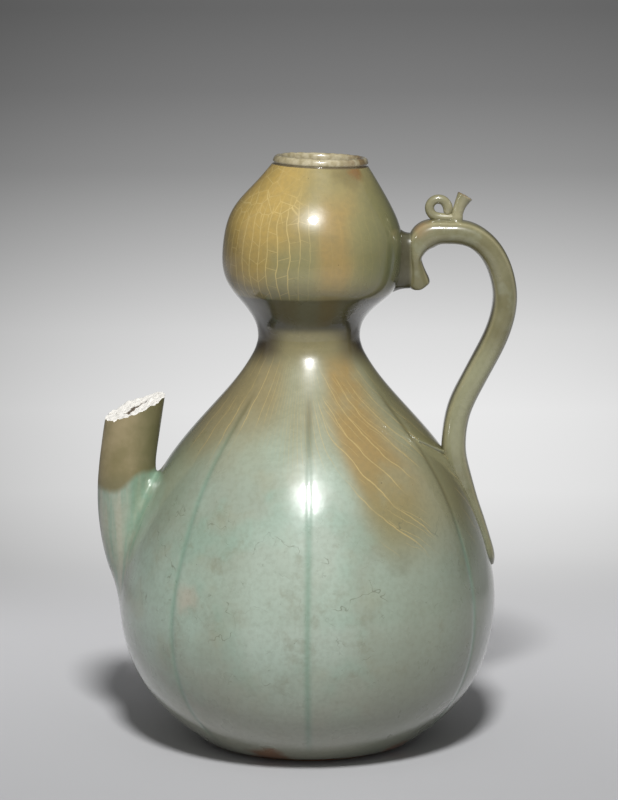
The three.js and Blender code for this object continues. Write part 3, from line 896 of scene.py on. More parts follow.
class ShapeTree:
    """A Geometry Nodes tree with named inputs."""

    def __init__(self, name: str, inputs: dict[str, tuple[str, object]]) -> None:
        """Starts a tree.

        Args:
            name: The tree's name.
            inputs: Input name to its socket type and its first value.
        """
        self.tree = bpy.data.node_groups.new(name, "GeometryNodeTree")
        face = self.tree.interface
        face.new_socket("Geometry", in_out="INPUT", socket_type="NodeSocketGeometry")
        for title, (kind, value) in inputs.items():
            socket = face.new_socket(title, in_out="INPUT", socket_type=kind)
            if value is not None:
                socket.default_value = value
        face.new_socket("Geometry", in_out="OUTPUT", socket_type="NodeSocketGeometry")
        self.start = self.tree.nodes.new("NodeGroupInput").outputs

    def node(self, kind: str, facts: dict | None = None, inputs: dict | None = None) -> bpy.types.Node:
        """Adds a node, with its settings and its inputs by name or index."""
        made = self.tree.nodes.new(kind)
        for key, value in (facts or {}).items():
            setattr(made, key, value)
        for key, value in (inputs or {}).items():
            if isinstance(value, bpy.types.NodeSocket):
                self.tree.links.new(value, made.inputs[key])
            else:
                made.inputs[key].default_value = value
        return made

    def join(self, *parts: bpy.types.NodeSocket) -> bpy.types.NodeSocket:
        """Puts geometries together."""
        both = self.node("GeometryNodeJoinGeometry")
        for part in parts:
            self.tree.links.new(part, both.inputs[0])
        return both.outputs[0]

    def finish(self, geometry: bpy.types.NodeSocket) -> bpy.types.NodeTree:
        """Ends the tree in real, dressed faces."""
        real = self.node("GeometryNodeRealizeInstances", {}, {"Geometry": geometry}).outputs[0]
        inputs = {"Geometry": real, "Material": self.start["Finish"]}
        dressed = self.node("GeometryNodeSetMaterial", {}, inputs)
        self.node("NodeGroupOutput", {}, {0: dressed.outputs[0]})
        return self.tree


@dataclass
class LowerBulb:
    """The big bulb with its seven incised grooves, and its foot ring."""

    pot: Pot
    groove_degrees: tuple = (0, 60, 120, 180, 224, 270, 316)
    groove_half: float = 2.8 * MM
    groove_depth: float = 0.22 * MM
    groove_foot: float = 5 * MM
    groove_top: float = 183 * MM
    fade: float = 14 * MM
    cut_steps: int = 22
    lobe_steps: int = 26
    outer_rings: int = 150
    inner_rings: int = 50
    grit_count: int = 260

    def angles(self, radius: np.ndarray) -> tuple[np.ndarray, np.ndarray]:
        """Places round each ring, close together across a groove.

        Args:
            radius: Radius of each ring.

        Returns:
            Angles for each ring, and each point's share of a groove's depth.
        """
        edge, steep = 1.6, 1.7
        across = np.linspace(-edge, edge, self.cut_steps)
        reach = edge * self.groove_half / radius[:, None]
        rest = np.linspace(0, 1, self.lobe_steps + 2)[1:-1]
        rows, cuts = [], []
        for i, degrees in enumerate(self.groove_degrees):
            ahead = self.groove_degrees[(i + 1) % len(self.groove_degrees)]
            centre = math.radians(degrees)
            span = math.radians((ahead - degrees) % 360)
            rows.append(centre + across * self.groove_half / radius[:, None])
            cuts.append(np.exp(-((across * steep) ** 2)))
            rows.append(centre + reach + (span - 2 * reach) * rest)
            cuts.append(np.zeros(self.lobe_steps))
        return np.concatenate(rows, axis=1), np.concatenate(cuts)

    def groove_tree(self) -> bpy.types.NodeTree:
        """Tree that presses the marked grooves into the wall."""
        shape = ShapeTree("incise_grooves", {
            "Depth": ("NodeSocketFloat", self.groove_depth),
            "Finish": ("NodeSocketMaterial", None),
        })
        named = shape.node("GeometryNodeInputNamedAttribute", {"data_type": "FLOAT"}, {"Name": GROOVE})
        share = named.outputs["Attribute"]
        product = {"operation": "MULTIPLY"}
        deep = shape.node("ShaderNodeMath", product, {0: share, 1: shape.start["Depth"]}).outputs[0]
        place = shape.node("GeometryNodeInputPosition").outputs[0]
        level = shape.node("ShaderNodeVectorMath", product, {0: place, 1: (-1, -1, 0)}).outputs[0]
        inward = shape.node("ShaderNodeVectorMath", {"operation": "NORMALIZE"}, {0: level}).outputs[0]
        move = shape.node("ShaderNodeVectorMath", {"operation": "SCALE"}, {0: inward, "Scale": deep})
        inputs = {"Geometry": shape.start["Geometry"], "Offset": move.outputs[0]}
        moved = shape.node("GeometryNodeSetPosition", {}, inputs)
        return shape.finish(moved.outputs[0])

    def build(self, glaze: bpy.types.Material, clay: bpy.types.Material) -> None:
        """Makes the bulb, its foot ring and the kiln grit on the ring."""
        line = self.pot.lower_line
        outside = line[np.linspace(0, len(line) - 1, self.outer_rings).astype(int)]
        steps = np.linspace(0, len(line) - 1, self.inner_rings).astype(int)
        inside = inner_line(line, self.pot.wall)[steps]
        inside[-1] = (self.pot.waist_radius - self.pot.wall, self.pot.lower_top)
        rounded = np.array([[self.pot.base_radius - 1.2 * MM, self.pot.foot_z]])
        profile = np.vstack([rounded, outside, inside[::-1]])
        angles, cuts = self.angles(profile[:, 0])
        out, level = profile[:, 0:1], np.repeat(profile[:, 1:2], angles.shape[1], axis=1)
        rings = np.stack([out * np.sin(angles), -out * np.cos(angles), level], axis=2)
        z = profile[:, 1]
        rise = smooth(z, self.groove_foot, self.groove_foot + self.fade)
        top = 1 - smooth(z, self.groove_top - self.fade, self.groove_top)
        outer = (np.arange(len(z)) <= len(outside)).astype(float)
        free = outer * smooth(z, 4 * MM, 20 * MM) * (1 - smooth(z, 180 * MM, 195 * MM))
        uneven = ripple(rings.reshape(-1, 3), 0.09, 5).reshape(rings.shape[:2]) * 0.16 * MM * free[:, None]
        rings[..., :2] *= (1 + uneven / out)[..., None]
        bulb = skin_mesh("lower_bulb_glazed", rings)
        mark(bulb, GROOVE, (rise * top * outer)[:, None] * cuts)
        through_nodes(bulb, self.groove_tree(), {"Depth": self.groove_depth, "Finish": glaze})
        dress(bulb, "celadon_glaze", ("lower_bulb",), glaze)
        self.build_foot(clay)

    def build_foot(self, clay: bpy.types.Material) -> None:
        """Makes the foot ring, and the grit that stuck to it in the kiln."""
        low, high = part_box("foot_ring")
        width, edge = 6.4 * MM, 0.5 * MM
        outer, inner = high.x, high.x - width
        section = np.array([
            (inner + edge, low.z), (outer - 2 * edge, low.z), (outer - edge, low.z + edge), (outer, high.z),
            (inner - edge, high.z), (inner, low.z + edge),
        ])
        rings = turned(section, np.linspace(0, TURN, 220, endpoint=False))
        ring = skin_mesh("foot_ring_clay", rings, wrap=True)
        dress(ring, "foot_clay", ("foot_ring",), clay)
        grit = skin_mesh("kiln_grit", self.grit_belt(outer - 1.2 * MM, high.z), wrap=True)
        through_nodes(grit, self.grit_tree(), {"Count": self.grit_count, "Finish": clay})
        dress(grit, "foot_clay", (), clay)

    def grit_belt(self, radius: float, z: float) -> np.ndarray:
        """Thin ring on which the grit is strewn, where the foot meets the base."""
        section = np.array([
            (radius, z - 1.2 * MM), (radius + 0.4 * MM, z - 0.5 * MM), (radius, z - 0.2 * MM),
        ])
        return turned(section, np.linspace(0, TURN, 96, endpoint=False))

    def grit_tree(self) -> bpy.types.NodeTree:
        """Tree that strews grains over a belt."""
        per_grain = 1200.0
        shape = ShapeTree("strew_grit", {
            "Count": ("NodeSocketInt", self.grit_count),
            "Grain": ("NodeSocketFloat", 0.42 * MM),
            "Finish": ("NodeSocketMaterial", None),
        })
        inputs = {0: shape.start["Count"], 1: per_grain}
        density = shape.node("ShaderNodeMath", {"operation": "MULTIPLY"}, inputs)
        spots = shape.node("GeometryNodeDistributePointsOnFaces", {}, {
            "Mesh": shape.start["Geometry"], "Density": density.outputs[0], "Seed": 4,
        })
        inputs = {"Radius": shape.start["Grain"], "Subdivisions": 1}
        grain = shape.node("GeometryNodeMeshIcoSphere", {}, inputs)
        size = shape.node("FunctionNodeRandomValue", {"data_type": "FLOAT"}, {2: 0.35, 3: 1.0, "Seed": 2})
        strewn = shape.node("GeometryNodeInstanceOnPoints", {}, {
            "Points": spots.outputs["Points"], "Instance": grain.outputs[0], "Scale": size.outputs[1],
        })
        return shape.finish(shape.join(strewn.outputs[0], shape.start["Geometry"]))


@dataclass
class UpperBulb:
    """The small leaning bulb, the luted joint under it and the worn lip."""

    pot: Pot
    bore: float = 19.2 * MM
    lip_radius: float = 23.2 * MM
    lip_rise: float = 4.6 * MM
    line_height: float = 0.8 * MM
    sides: int = 256

    def __post_init__(self) -> None:
        """Sets the places round each ring."""
        self.angles = np.linspace(0, TURN, self.sides, endpoint=False)

    def build(self, glaze: bpy.types.Material, lip_glaze: bpy.types.Material) -> None:
        """Makes the bulb, the lute ring and the lip."""
        line = self.pot.upper_line
        outside = line[np.linspace(0, len(line) - 1, 110).astype(int)]
        inside = inner_line(line, self.pot.wall)[np.linspace(0, len(line) - 1, 40).astype(int)]
        inside[0] = (self.pot.waist_radius - self.pot.wall, 0)
        inside[-1] = (self.pot.neck_radius - self.pot.wall, self.pot.upper_height)
        rings = self.pot.lean_rings(np.vstack([outside, inside[::-1]]), self.angles)
        bulb = skin_mesh("upper_bulb_glazed", rings, wrap=True)
        dress(bulb, "celadon_glaze", ("upper_bulb",), glaze)
        self.build_lute(glaze)
        self.build_lip(lip_glaze)

    def build_lute(self, glaze: bpy.types.Material) -> None:
        """Makes the ring of clay that joins the bulbs, flush outside and bulging inside."""
        bore, bulge = self.pot.waist_radius - self.pot.wall, 1.4 * MM
        low, high = self.pot.lower_top, self.pot.upper_base
        swell = np.linspace(0, 1, 9)[1:-1]
        inner = [(bore - bulge * math.sin(math.pi * t), high + (low - high) * t) for t in swell]
        flare = self.pot.waist_flare
        outer = [
            (self.pot.waist_radius + flare * (1 - t) ** 2, low + (high - low) * t)
            for t in np.linspace(0, 1, 6)
        ]
        section = np.array([*outer, (bore, high), *inner, (bore, low)])
        lute = skin_mesh("waist_lute_glazed", turned(section, self.angles), wrap=True)
        dress(lute, "celadon_glaze", ("waist_lute",), glaze)

    def build_lip(self, glaze: bpy.types.Material) -> None:
        """Makes the lip, with a dark line under it and soft wear along its edge."""
        start, top = self.pot.upper_height, self.pot.upper_height + self.lip_rise
        outline = [
            (self.pot.neck_radius - 0.1 * MM, start),
            (self.lip_radius - 0.35 * MM, start + 0.55 * MM),
            (self.lip_radius, start + 1.2 * MM),
            (self.lip_radius - 0.05 * MM, start + 2.4 * MM),
            (self.lip_radius - 0.45 * MM, top - 1.1 * MM),
            (self.lip_radius - 1.2 * MM, top - 0.25 * MM),
            ((self.lip_radius + self.bore) / 2, top),
            (self.bore + 1.0 * MM, top - 0.35 * MM),
            (self.bore + 0.25 * MM, top - 1.5 * MM),
            (self.bore, top - 3.0 * MM),
            (self.bore, start),
        ]
        line = smooth_line(outline, 60)
        rings = self.pot.lean_rings(line, self.angles)
        flat = rings.reshape(-1, 3)
        worn = smooth(np.repeat(line[:, 1], self.sides), start + 2.4 * MM, top)
        flat[:, 2] -= (0.25 + 0.14 * ripple(flat, 0.006, 11)) * MM * worn
        lip = skin_mesh("mouth_rim_worn", flat.reshape(rings.shape), wrap=True, sharp=60)
        outer = line[:, 0] > (self.lip_radius + self.bore) / 2
        line_low, line_high = start + self.line_height * 0.7, start + self.line_height * 1.4
        dark = (1 - smooth(line[:, 1], line_low, line_high)) * outer
        mark(lip, GROOVE, np.repeat(dark, self.sides))
        dress(lip, "celadon_glaze", ("mouth_rim",), glaze)


@dataclass
class Spout:
    """The thick tube on the left, snapped off and filled with old plaster."""

    pot: Pot
    radius: float = 13.75 * MM
    bore: float = 8.7 * MM
    hole: float = 6.6 * MM
    hole_z: float = 96 * MM
    break_inset: float = 7.4 * MM
    break_z: float = 166.4 * MM
    reach: float = 2.3 * MM
    root_z: float = 68 * MM
    break_rise: float = math.radians(20.8)
    break_back: float = math.radians(8)
    sides: int = 144
    tube_rings: int = 64
    fillet_rings: int = 26
    plug_depth: float = 12 * MM
    slot_half_length: float = 7.2 * MM
    slot_half_width: float = 2.7 * MM
    slot_turn: float = math.radians(42)
    line: np.ndarray = field(init=False)

    def __post_init__(self) -> None:
        """Sets the tube's middle line from the lower bulb's radius."""
        near, far = -(self.pot.lower_radius - self.reach), -(self.pot.lower_radius - self.break_inset)
        shares = ((1, 1), (0.36, 0.78), (0, 0.564), (0.36, 0.355), (1.43, 0.167), (3.1, 0))
        rise = self.break_z - self.root_z
        self.stations = [(near + (far - near) * s, self.root_z + rise * t) for s, t in shares]
        out = np.array(self.stations[0]) - np.array(self.stations[1])
        self.out = out / np.linalg.norm(out)
        self.line = smooth_line(self.stations, 220)

    def onto_break(self, ring: np.ndarray, drop: float = 0.0) -> np.ndarray:
        """Slides points along the tube to the broken edge's plane, less a drop."""
        x0, z0 = self.stations[0]
        rise, back = math.tan(self.break_rise), math.tan(self.break_back)
        plane = z0 - drop + (ring[:, 0] - x0) * rise + ring[:, 1] * back
        slope = self.out[1] - self.out[0] * rise
        along = (plane - ring[:, 2]) / slope
        return ring + along[:, None] * np.array([self.out[0], 0, self.out[1]])

    def centre_near(self, z: float) -> np.ndarray:
        """Point of the tube's middle line at a height."""
        order = self.line[np.argsort(self.line[:, 1])]
        return np.array([np.interp(z, order[:, 1], order[:, 0]), 0, z])

    def landing(self, line: np.ndarray, angle: float) -> tuple[np.ndarray, np.ndarray, int]:
        """Works out how one line along the tube runs out onto the pot.

        Args:
            line: Points from the break down into the pot.
            angle: Place round the tube, a quarter turn on the side that faces the pot.

        Returns:
            Where the line meets the pot, where its fillet ends, and its first point inside the pot.
        """
        gap = np.hypot(line[:, 0], line[:, 1]) - self.pot.radius_at(line[:, 2])
        hit = int(np.argmax(gap < 0))
        share = gap[hit - 1] / (gap[hit - 1] - gap[hit])
        meet = line[hit - 1] + (line[hit] - line[hit - 1]) * share
        down = line[hit] - line[hit - 1]
        down /= np.linalg.norm(down)
        outer = (1 - math.sin(angle)) / 2
        soft = (8.5 + 5 * outer**2 + 5.5 * (1 - outer) ** 3) * MM
        away = meet - self.centre_near(meet[2])
        away /= np.linalg.norm(away)
        square = np.array([meet[0], meet[1], -np.hypot(meet[0], meet[1]) * self.pot.slope_at(meet[2])])
        square /= np.linalg.norm(square)
        spread = away - (away @ square) * square + (down - (down @ square) * square) * 2.2 * outer**2
        return meet, meet + spread / np.linalg.norm(spread) * soft, hit

    def flared_lines(self, rings: np.ndarray) -> np.ndarray:
        """Ends each line along the tube in a soft fillet on the pot.

        Args:
            rings: Rings from the break down into the pot.

        Returns:
            New rings, whose last one lies just inside the pot's surface.
        """
        tube, fillet = self.tube_rings, self.fillet_rings
        made = np.zeros((tube + fillet, self.sides, 3))
        t = np.linspace(0, 1, fillet + 1)[1:]
        for a in range(self.sides):
            line = rings[:, a]
            meet, end, hit = self.landing(line, a / self.sides * TURN)
            steps = np.linalg.norm(np.diff(line[:hit], axis=0), axis=1)
            length = np.concatenate([[0], np.cumsum(steps)])
            stop = max(length[-1] - np.linalg.norm(end - meet), length[-1] * 0.2)
            for k in range(3):
                made[:tube, a, k] = np.interp(np.linspace(0, stop, tube), length, line[:hit, k])
            share = t[:, None]
            start = made[tube - 1, a]
            made[tube:, a] = start * (1 - share) ** 2 + 2 * meet * share * (1 - share) + end * share**2
        last = made[tube:].reshape(-1, 3)
        lift = np.hypot(last[:, 0], last[:, 1]) - self.pot.radius_at(last[:, 2])
        t = np.repeat(t, self.sides)
        want = lift * (1 - smooth(t, 0.55, 1)) - 0.25 * MM * smooth(t, 0.8, 1)
        made[tube:] = self.pot.onto_lower(last, want).reshape(fillet, self.sides, 3)
        return made

    def build(self, glaze: bpy.types.Material, plaster: bpy.types.Material) -> None:
        """Makes the spout and its filling."""
        full = np.full(len(self.line), self.radius)
        outer = self.flared_lines(sweep_rings(self.line, full, full, self.sides, 2))
        broken = self.onto_break(outer[0])
        broken[:, 2] += (ripple(broken, 0.004, 3) * 0.5 + ripple(broken, 0.0015, 9) * 0.25) * MM
        shift = broken - outer[0]
        for i, share in enumerate(np.linspace(1, 0, 12) ** 2):
            outer[i] += shift * share
        bore = self.bore_rings()
        rim = []
        for share in np.linspace(0, 1, 9)[1:-1]:
            ring = broken * (1 - share) + bore[-1] * share
            rough = ripple(ring, 0.0045, 21) * 0.6 + ripple(ring, 0.0017, 8) * 0.18
            ring[:, 2] += rough * MM * math.sin(math.pi * share)
            rim.append(ring)
        everything = np.concatenate([outer, bore, np.array(rim[::-1])])
        part = np.zeros(len(everything), int)
        part[len(outer) + len(bore) - 1 :] = 1
        spout = skin_mesh("spout_glazed", everything, wrap=True, sharp=50, part=part)
        dress(spout, "celadon_glaze", ("spout",), glaze, plaster)
        self.build_fill(bore[-1], plaster)

    def bore_rings(self) -> np.ndarray:
        """Rings of the way through the spout, from the hole in the pot up to the break."""
        first, second, third = (np.array(s) for s in self.stations[:3])
        hole_x = -float(self.pot.radius_at(np.array(self.hole_z)))
        path = [
            tuple(first + self.out * 1 * MM), tuple(second), tuple(third),
            (third[0] + 2.4 * MM, self.hole_z + (third[1] - self.hole_z) * 0.45),
            (hole_x + 2 * MM, self.hole_z + 3.5 * MM),
            (hole_x + 4 * MM, self.hole_z),
        ]
        line = smooth_line(path, 40)
        radii = [self.bore, self.bore, self.hole, self.hole]
        size = np.interp(np.linspace(0, 1, 40), [0, 0.45, 0.8, 1], radii)
        rings = sweep_rings(line, size, size, self.sides, 2)
        shift = self.onto_break(rings[0], 0.4 * MM) - rings[0]
        for i, share in enumerate(np.linspace(1, 0, 8) ** 2):
            rings[i] += shift * share
        return rings[::-1]

    def build_fill(self, mouth: np.ndarray, plaster: bpy.types.Material) -> None:
        """Makes the plaster plug, rough on top and with a ragged, dark brown slot."""
        centre = mouth.mean(axis=0)
        axis = np.array([self.out[0], 0, self.out[1]])
        slot_depth = 3.2 * MM
        rings, slots = [], []
        for share in np.linspace(0.02, 1, 34):
            ring = centre + (mouth - centre) * share * 0.995
            rough = (np.maximum(ripple(ring, 0.0055, 31), -0.5) * 0.6 + ripple(ring, 0.0018, 32) * 0.2) * MM
            gap = ring - centre
            rough += 0.07 * gap[:, 1]
            east, north = math.cos(self.slot_turn), math.sin(self.slot_turn)
            along = (gap[:, 0] * east + gap[:, 1] * north) / self.slot_half_length
            across = (gap[:, 1] * east - gap[:, 0] * north) / self.slot_half_width
            along = along + 0.14 * ripple(ring, 0.003, 6)
            across = across + 0.5 * ripple(ring, 0.0035, 7)
            pit = 1 - smooth(np.hypot(along, across), 0.6, 1.05)
            pit *= 1 - smooth(np.full(len(ring), share), 0.88, 0.97)
            calm = 1 - 0.6 * smooth(np.array([share]), 0.9, 1)[0]
            rings.append(ring + axis * (rough * calm - slot_depth * pit)[:, None])
            slots.append(pit)
        for share in (1 / 3, 2 / 3, 1):
            rings.append(mouth - axis * self.plug_depth * share)
            slots.append(np.zeros(len(mouth)))
        plug = skin_mesh("spout_fill_plaster", np.array(rings), sharp=70)
        mark(plug, SLOT, np.concatenate(slots))
        dress(plug, "old_plaster", ("spout_fill",), plaster)


@dataclass
class Handle:
    """The strap with its hooked end, its luting lump, and the coil and stub on top."""

    pot: Pot
    wide: float = 10 * MM
    thick: float = 6 * MM
    thin: float = 3.2 * MM
    square: float = 2.7
    seat_height: float = 39 * MM
    arch_rise: float = 50.7 * MM
    arch_offset: float = 20.3 * MM
    reach_rise: float = 17.5 * MM
    foot_z: float = 152 * MM
    foot_standoff: float = 10.7 * MM
    tail_drop: float = 8.6 * MM
    tail_end: float = 88 * MM
    tail_wide: float = 7.5 * MM
    tail_edge: float = 3.6 * MM
    tail_thick: float = 2.5 * MM
    tail_lift: float = 7.8 * MM
    lute_depth: float = 2.8 * MM
    lute_half_width: float = 8.5 * MM
    lute_half_height: float = 13.5 * MM
    lute_rise: float = 1.5 * MM
    loop_offset: float = 11.5 * MM
    loop_radius: float = 4.3 * MM
    coil_radius: float = 2.3 * MM
    stub_offset: float = 20.5 * MM

    def __post_init__(self) -> None:
        """Finds the strap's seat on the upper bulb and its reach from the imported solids."""
        x, z, tilt = (float(v[0]) for v in self.pot.spine(np.array([self.seat_height])))
        radius = float(np.interp(self.seat_height, self.pot.upper_line[:, 1], self.pot.upper_line[:, 0]))
        self.seat_x = x + radius * math.cos(tilt)
        self.seat_z = z - radius * math.sin(tilt)
        self.strap_x = self.seat_x + self.lute_depth + self.thin
        self.arch_z = self.pot.upper_base + self.arch_rise
        self.reach_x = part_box("handle_strap")[1].x - self.thick
        self.reach_z = self.pot.upper_base + self.reach_rise
        self.top_z = self.arch_z + self.thick

    def hook_and_bend(self) -> list[tuple[float, float, float, float]]:
        """Stations from the blunt toe of the hook up to the arch, as shares of the strap's thickness."""
        hook = (
            (0.229, -0.983, 0.15), (0.217, -0.942, 0.325), (0.196, -0.858, 0.433), (0.171, -0.708, 0.454),
            (0.133, -0.508, 0.408), (0.088, -0.258, 0.338), (0.045, -0.008, 0.283), (0.021, 0.24, 0.27),
        )
        bend = (
            (0.0625, -0.792, 0.354), (0.179, -0.479, 0.4875), (0.442, -0.171, 0.575), (0.942, 0, 0.53),
            (1.36, 0.004, 0.497),
        )
        full, rows = 2 * self.thick, []
        for i, (out, up, half) in enumerate(hook):
            wide = self.wide * (0.8 + 0.2 * i / (len(hook) - 1))
            rows.append((self.strap_x + out * full, self.seat_z + up * full, wide, half * full))
        for out, up, half in bend:
            rows.append((self.strap_x + out * full, self.arch_z + up * full, self.wide, half * full))
        return rows

    def stations(self) -> list[tuple[float, float, float, float]]:
        """Rows of x, z, half width and half thickness from the hook to the tail."""
        rows = self.hook_and_bend()
        arch_x = self.strap_x + self.arch_offset
        for degrees in (0, 18, 36, 54, 72, 90):
            turn = math.radians(degrees)
            x = arch_x + (self.reach_x - arch_x) * math.sin(turn)
            z = self.reach_z + (self.arch_z - self.reach_z) * math.cos(turn)
            rows.append((x, z, self.wide, self.thick))
        foot_x = float(self.pot.radius_at(np.array(self.foot_z))) + self.foot_standoff
        for share in (0.2, 0.4, 0.6, 0.8, 1):
            ease = share * share * (3 - 2 * share)
            x = self.reach_x + (foot_x - self.reach_x) * ease
            rows.append((x, self.reach_z + (self.foot_z - self.reach_z) * share, self.wide, self.thick))
        top = self.foot_z - self.tail_drop
        for share in (0, 0.2, 0.4, 0.6, 0.8, 0.93):
            height = top + (self.tail_end - top) * share
            half = self.thick + (self.tail_edge - self.thick) * share
            wide = self.wide + (self.tail_wide - self.wide) * share
            standoff = self.tail_thick + self.tail_lift * (1 - share) ** 4
            rows.append((float(self.pot.radius_at(np.array(height))) + standoff - half, height, wide, half))
        end = float(self.pot.radius_at(np.array(self.tail_end)))
        rows.append((end - 1.4 * MM, self.tail_end - 0.6 * MM, self.tail_wide * 0.5, self.tail_edge * 0.75))
        return rows

    def build(self, glaze: bpy.types.Material, worn: bpy.types.Material) -> None:
        """Makes the strap, the lump that lutes it on, the coil and the stub."""
        rows = smooth_line(self.stations(), 340)
        rings = sweep_rings(rows[:, :2], rows[:, 2], rows[:, 3], 64, self.square)
        flat = rings.reshape(-1, 3)
        uneven = np.stack([ripple(flat, 0.03, seed) for seed in (41, 42, 43)], axis=1)
        flat += uneven * 0.12 * MM
        deep = np.hypot(flat[:, 0], flat[:, 1]) < self.pot.radius_at(flat[:, 2]) - 0.5 * MM
        near = deep & (flat[:, 2] < self.foot_z + 5 * MM)
        flat[near] = self.pot.onto_lower(flat[near], -0.5 * MM)
        strap = skin_mesh("handle_strap_glazed", flat.reshape(rings.shape), sharp=75)
        section = np.arange(rings.shape[1]) / rings.shape[1] * TURN
        mark(strap, GROOVE, np.tile(np.abs(np.sin(2 * section)) ** 14, len(rings)))
        # Marks the strap's inner face, towards the pot, for its painted shade.
        mark(strap, INNER_SHADE, np.tile(smooth(-np.sin(section), 0.8, 0.97), len(rings)))
        dress(strap, "celadon_glaze", ("handle_strap",), glaze)
        self.build_lute(glaze)
        self.build_smear(glaze)
        self.build_loop(glaze)
        self.build_stub(glaze, worn)

    def build_lute(self, glaze: bpy.types.Material) -> None:
        """Makes the lump of clay between the upper bulb and the strap, flared where it meets the bulb."""
        angles = np.linspace(0, TURN, 120, endpoint=False)
        y = np.sign(np.cos(angles)) * np.abs(np.cos(angles)) ** 0.6 * self.lute_half_width
        z = np.sign(np.sin(angles)) * np.abs(np.sin(angles)) ** 0.6 * self.lute_half_height
        rings = []
        for share in np.linspace(0, 1, 18):
            flare = 1 + 0.22 * (1 - share) ** 4
            level = self.seat_z + self.lute_rise + z * flare
            inner = self.pot.upper_skin_x(y * flare, level) - 0.9 * MM
            rings.append(np.stack([inner + (self.strap_x - inner) * share, y * flare, level], axis=1))
        lump = skin_mesh("handle_top_lute_glazed", np.array(rings))
        dress(lump, "celadon_glaze", ("handle_top_lute",), glaze)

    def build_smear(self, glaze: bpy.types.Material) -> None:
        """Makes the low ridge of luting slip that runs from the strap's foot along the shoulder."""
        ends = [(52.1, -26.5, 153.8), (56.5, -22.5, 151.6), (61, -17.5, 148.8), (66, -9.5, 145.2)]
        points = smooth_line([tuple(v * MM for v in end) for end in ends], 40)
        share = np.linspace(0, 1, 40)
        size = np.interp(share, [0, 0.06, 0.5, 1], [0.8, 0.75, 0.65, 1.3]) * MM
        smear = self.tube("handle_luting_smear", self.pot.onto_lower(points, -0.1 * MM), size, glaze)
        dress(smear, "celadon_glaze", (), glaze)

    def coil_tree(self) -> bpy.types.NodeTree:
        """Tree that turns a line into a round tube of changing thickness."""
        shape = ShapeTree("roll_coil", {
            "Sides": ("NodeSocketInt", 24),
            "Finish": ("NodeSocketMaterial", None),
        })
        line = shape.node("GeometryNodeMeshToCurve", {}, {"Mesh": shape.start["Geometry"]})
        named = shape.node("GeometryNodeInputNamedAttribute", {"data_type": "FLOAT"}, {"Name": "size"})
        size = named.outputs["Attribute"]
        sized = shape.node("GeometryNodeSetCurveRadius", {}, {"Curve": line.outputs[0], "Radius": size})
        inputs = {"Resolution": shape.start["Sides"], "Radius": 1.0}
        ring = shape.node("GeometryNodeCurvePrimitiveCircle", {}, inputs)
        tube = shape.node("GeometryNodeCurveToMesh", {}, {
            "Curve": sized.outputs[0], "Profile Curve": ring.outputs[0], "Scale": size, "Fill Caps": True,
        })
        return shape.finish(tube.outputs[0])

    def tube(
        self, name: str, points: np.ndarray, sizes: np.ndarray, finish: bpy.types.Material
    ) -> bpy.types.Object:
        """Rolls a tube along points through the Geometry Nodes tree.

        Args:
            name: Name of the new object.
            points: Rows of x, y, z along its middle.
            sizes: Radius at each point.
            finish: Its material.

        Returns:
            The tube.
        """
        mesh = bpy.data.meshes.new(name)
        mesh.from_pydata(points.tolist(), [(i, i + 1) for i in range(len(points) - 1)], [])
        mesh.attributes.new("size", "FLOAT", "POINT").data.foreach_set("value", sizes.astype(np.float32))
        thing = bpy.data.objects.new(name, mesh)
        bpy.context.scene.collection.objects.link(thing)
        through_nodes(thing, self.coil_tree(), {"Sides": 24, "Finish": finish})
        thing.data.shade_smooth()
        thing.data.set_sharp_from_angle(angle=math.radians(60))
        return thing

    def build_loop(self, glaze: bpy.types.Material) -> None:
        """Makes the coil: a ridge from the stub's foot that curls up into a ring and tucks its end in."""
        radius = self.loop_radius
        x, z = self.strap_x + self.loop_offset, self.top_z + radius + 1.4 * MM
        ridge = [
            (x + 11 * MM, 0, z - 5.2 * MM), (x + 8 * MM, 0, z - 4.8 * MM), (x + 3.5 * MM, 0, z - 4.6 * MM),
        ]
        turns = [
            (x + radius * math.cos(t), 0, z + radius * math.sin(t))
            for t in np.radians(np.arange(-105, -345, -20))
        ]
        tuck = [
            (x + 4.6 * MM, 0, z - 0.3 * MM), (x + 4.2 * MM, 0, z - 1.8 * MM), (x + 3.2 * MM, 0, z - 2.8 * MM),
        ]
        points = smooth_line([*ridge, *turns, *tuck], 130)
        shares = [0, 0.06, 0.2, 0.3, 0.7, 0.9, 0.98, 1]
        sizes = np.interp(np.linspace(0, 1, 130), shares, [1.7, 2.0, 2.2, 2.3, 2.3, 2.5, 2.1, 1.3]) * MM
        loop = self.tube("tendril_loop_glazed", points, sizes, glaze)
        dress(loop, "celadon_glaze", ("tendril_loop",), glaze)

    def build_stub(self, glaze: bpy.types.Material, worn: bpy.types.Material) -> None:
        """Makes the broken stub, which flares to an oblique, worn end."""
        x, z, steps = self.strap_x + self.stub_offset, self.top_z, 40
        path = smooth_line([
            (x - 0.5 * MM, z - 1.6 * MM), (x + 0.1 * MM, z + 2.2 * MM),
            (x + 1.4 * MM, z + 6.5 * MM), (x + 3.9 * MM, z + 11.4 * MM),
        ], steps)
        share = np.linspace(0, 1, steps)
        size = np.interp(share, [0, 0.12, 0.35, 0.6, 0.85, 1], [4.4, 3.3, 2.8, 2.9, 3.5, 4.0]) * MM
        rings = sweep_rings(path, size * 0.9, size, 48, 2)
        centre = rings[-1].mean(axis=0)
        out = centre - rings[-2].mean(axis=0)
        out /= np.linalg.norm(out)
        end = []
        for scale, rise in ((0.94, 0.3), (0.85, 0.42), (0.6, 0.3), (0.3, 0.2)):
            ring = centre + (rings[-1] - centre) * scale + out * rise * MM
            end.append(ring + out * ripple(ring, 0.0025, 51)[:, None] * 0.2 * MM)
        everything = np.concatenate([rings, np.array(end)])
        part = np.zeros(len(everything), int)
        part[len(rings) - 1 :] = 1
        stub = skin_mesh("stem_stub_glazed", everything, part=part)
        dress(stub, "celadon_glaze", ("stem_stub",), glaze, worn)


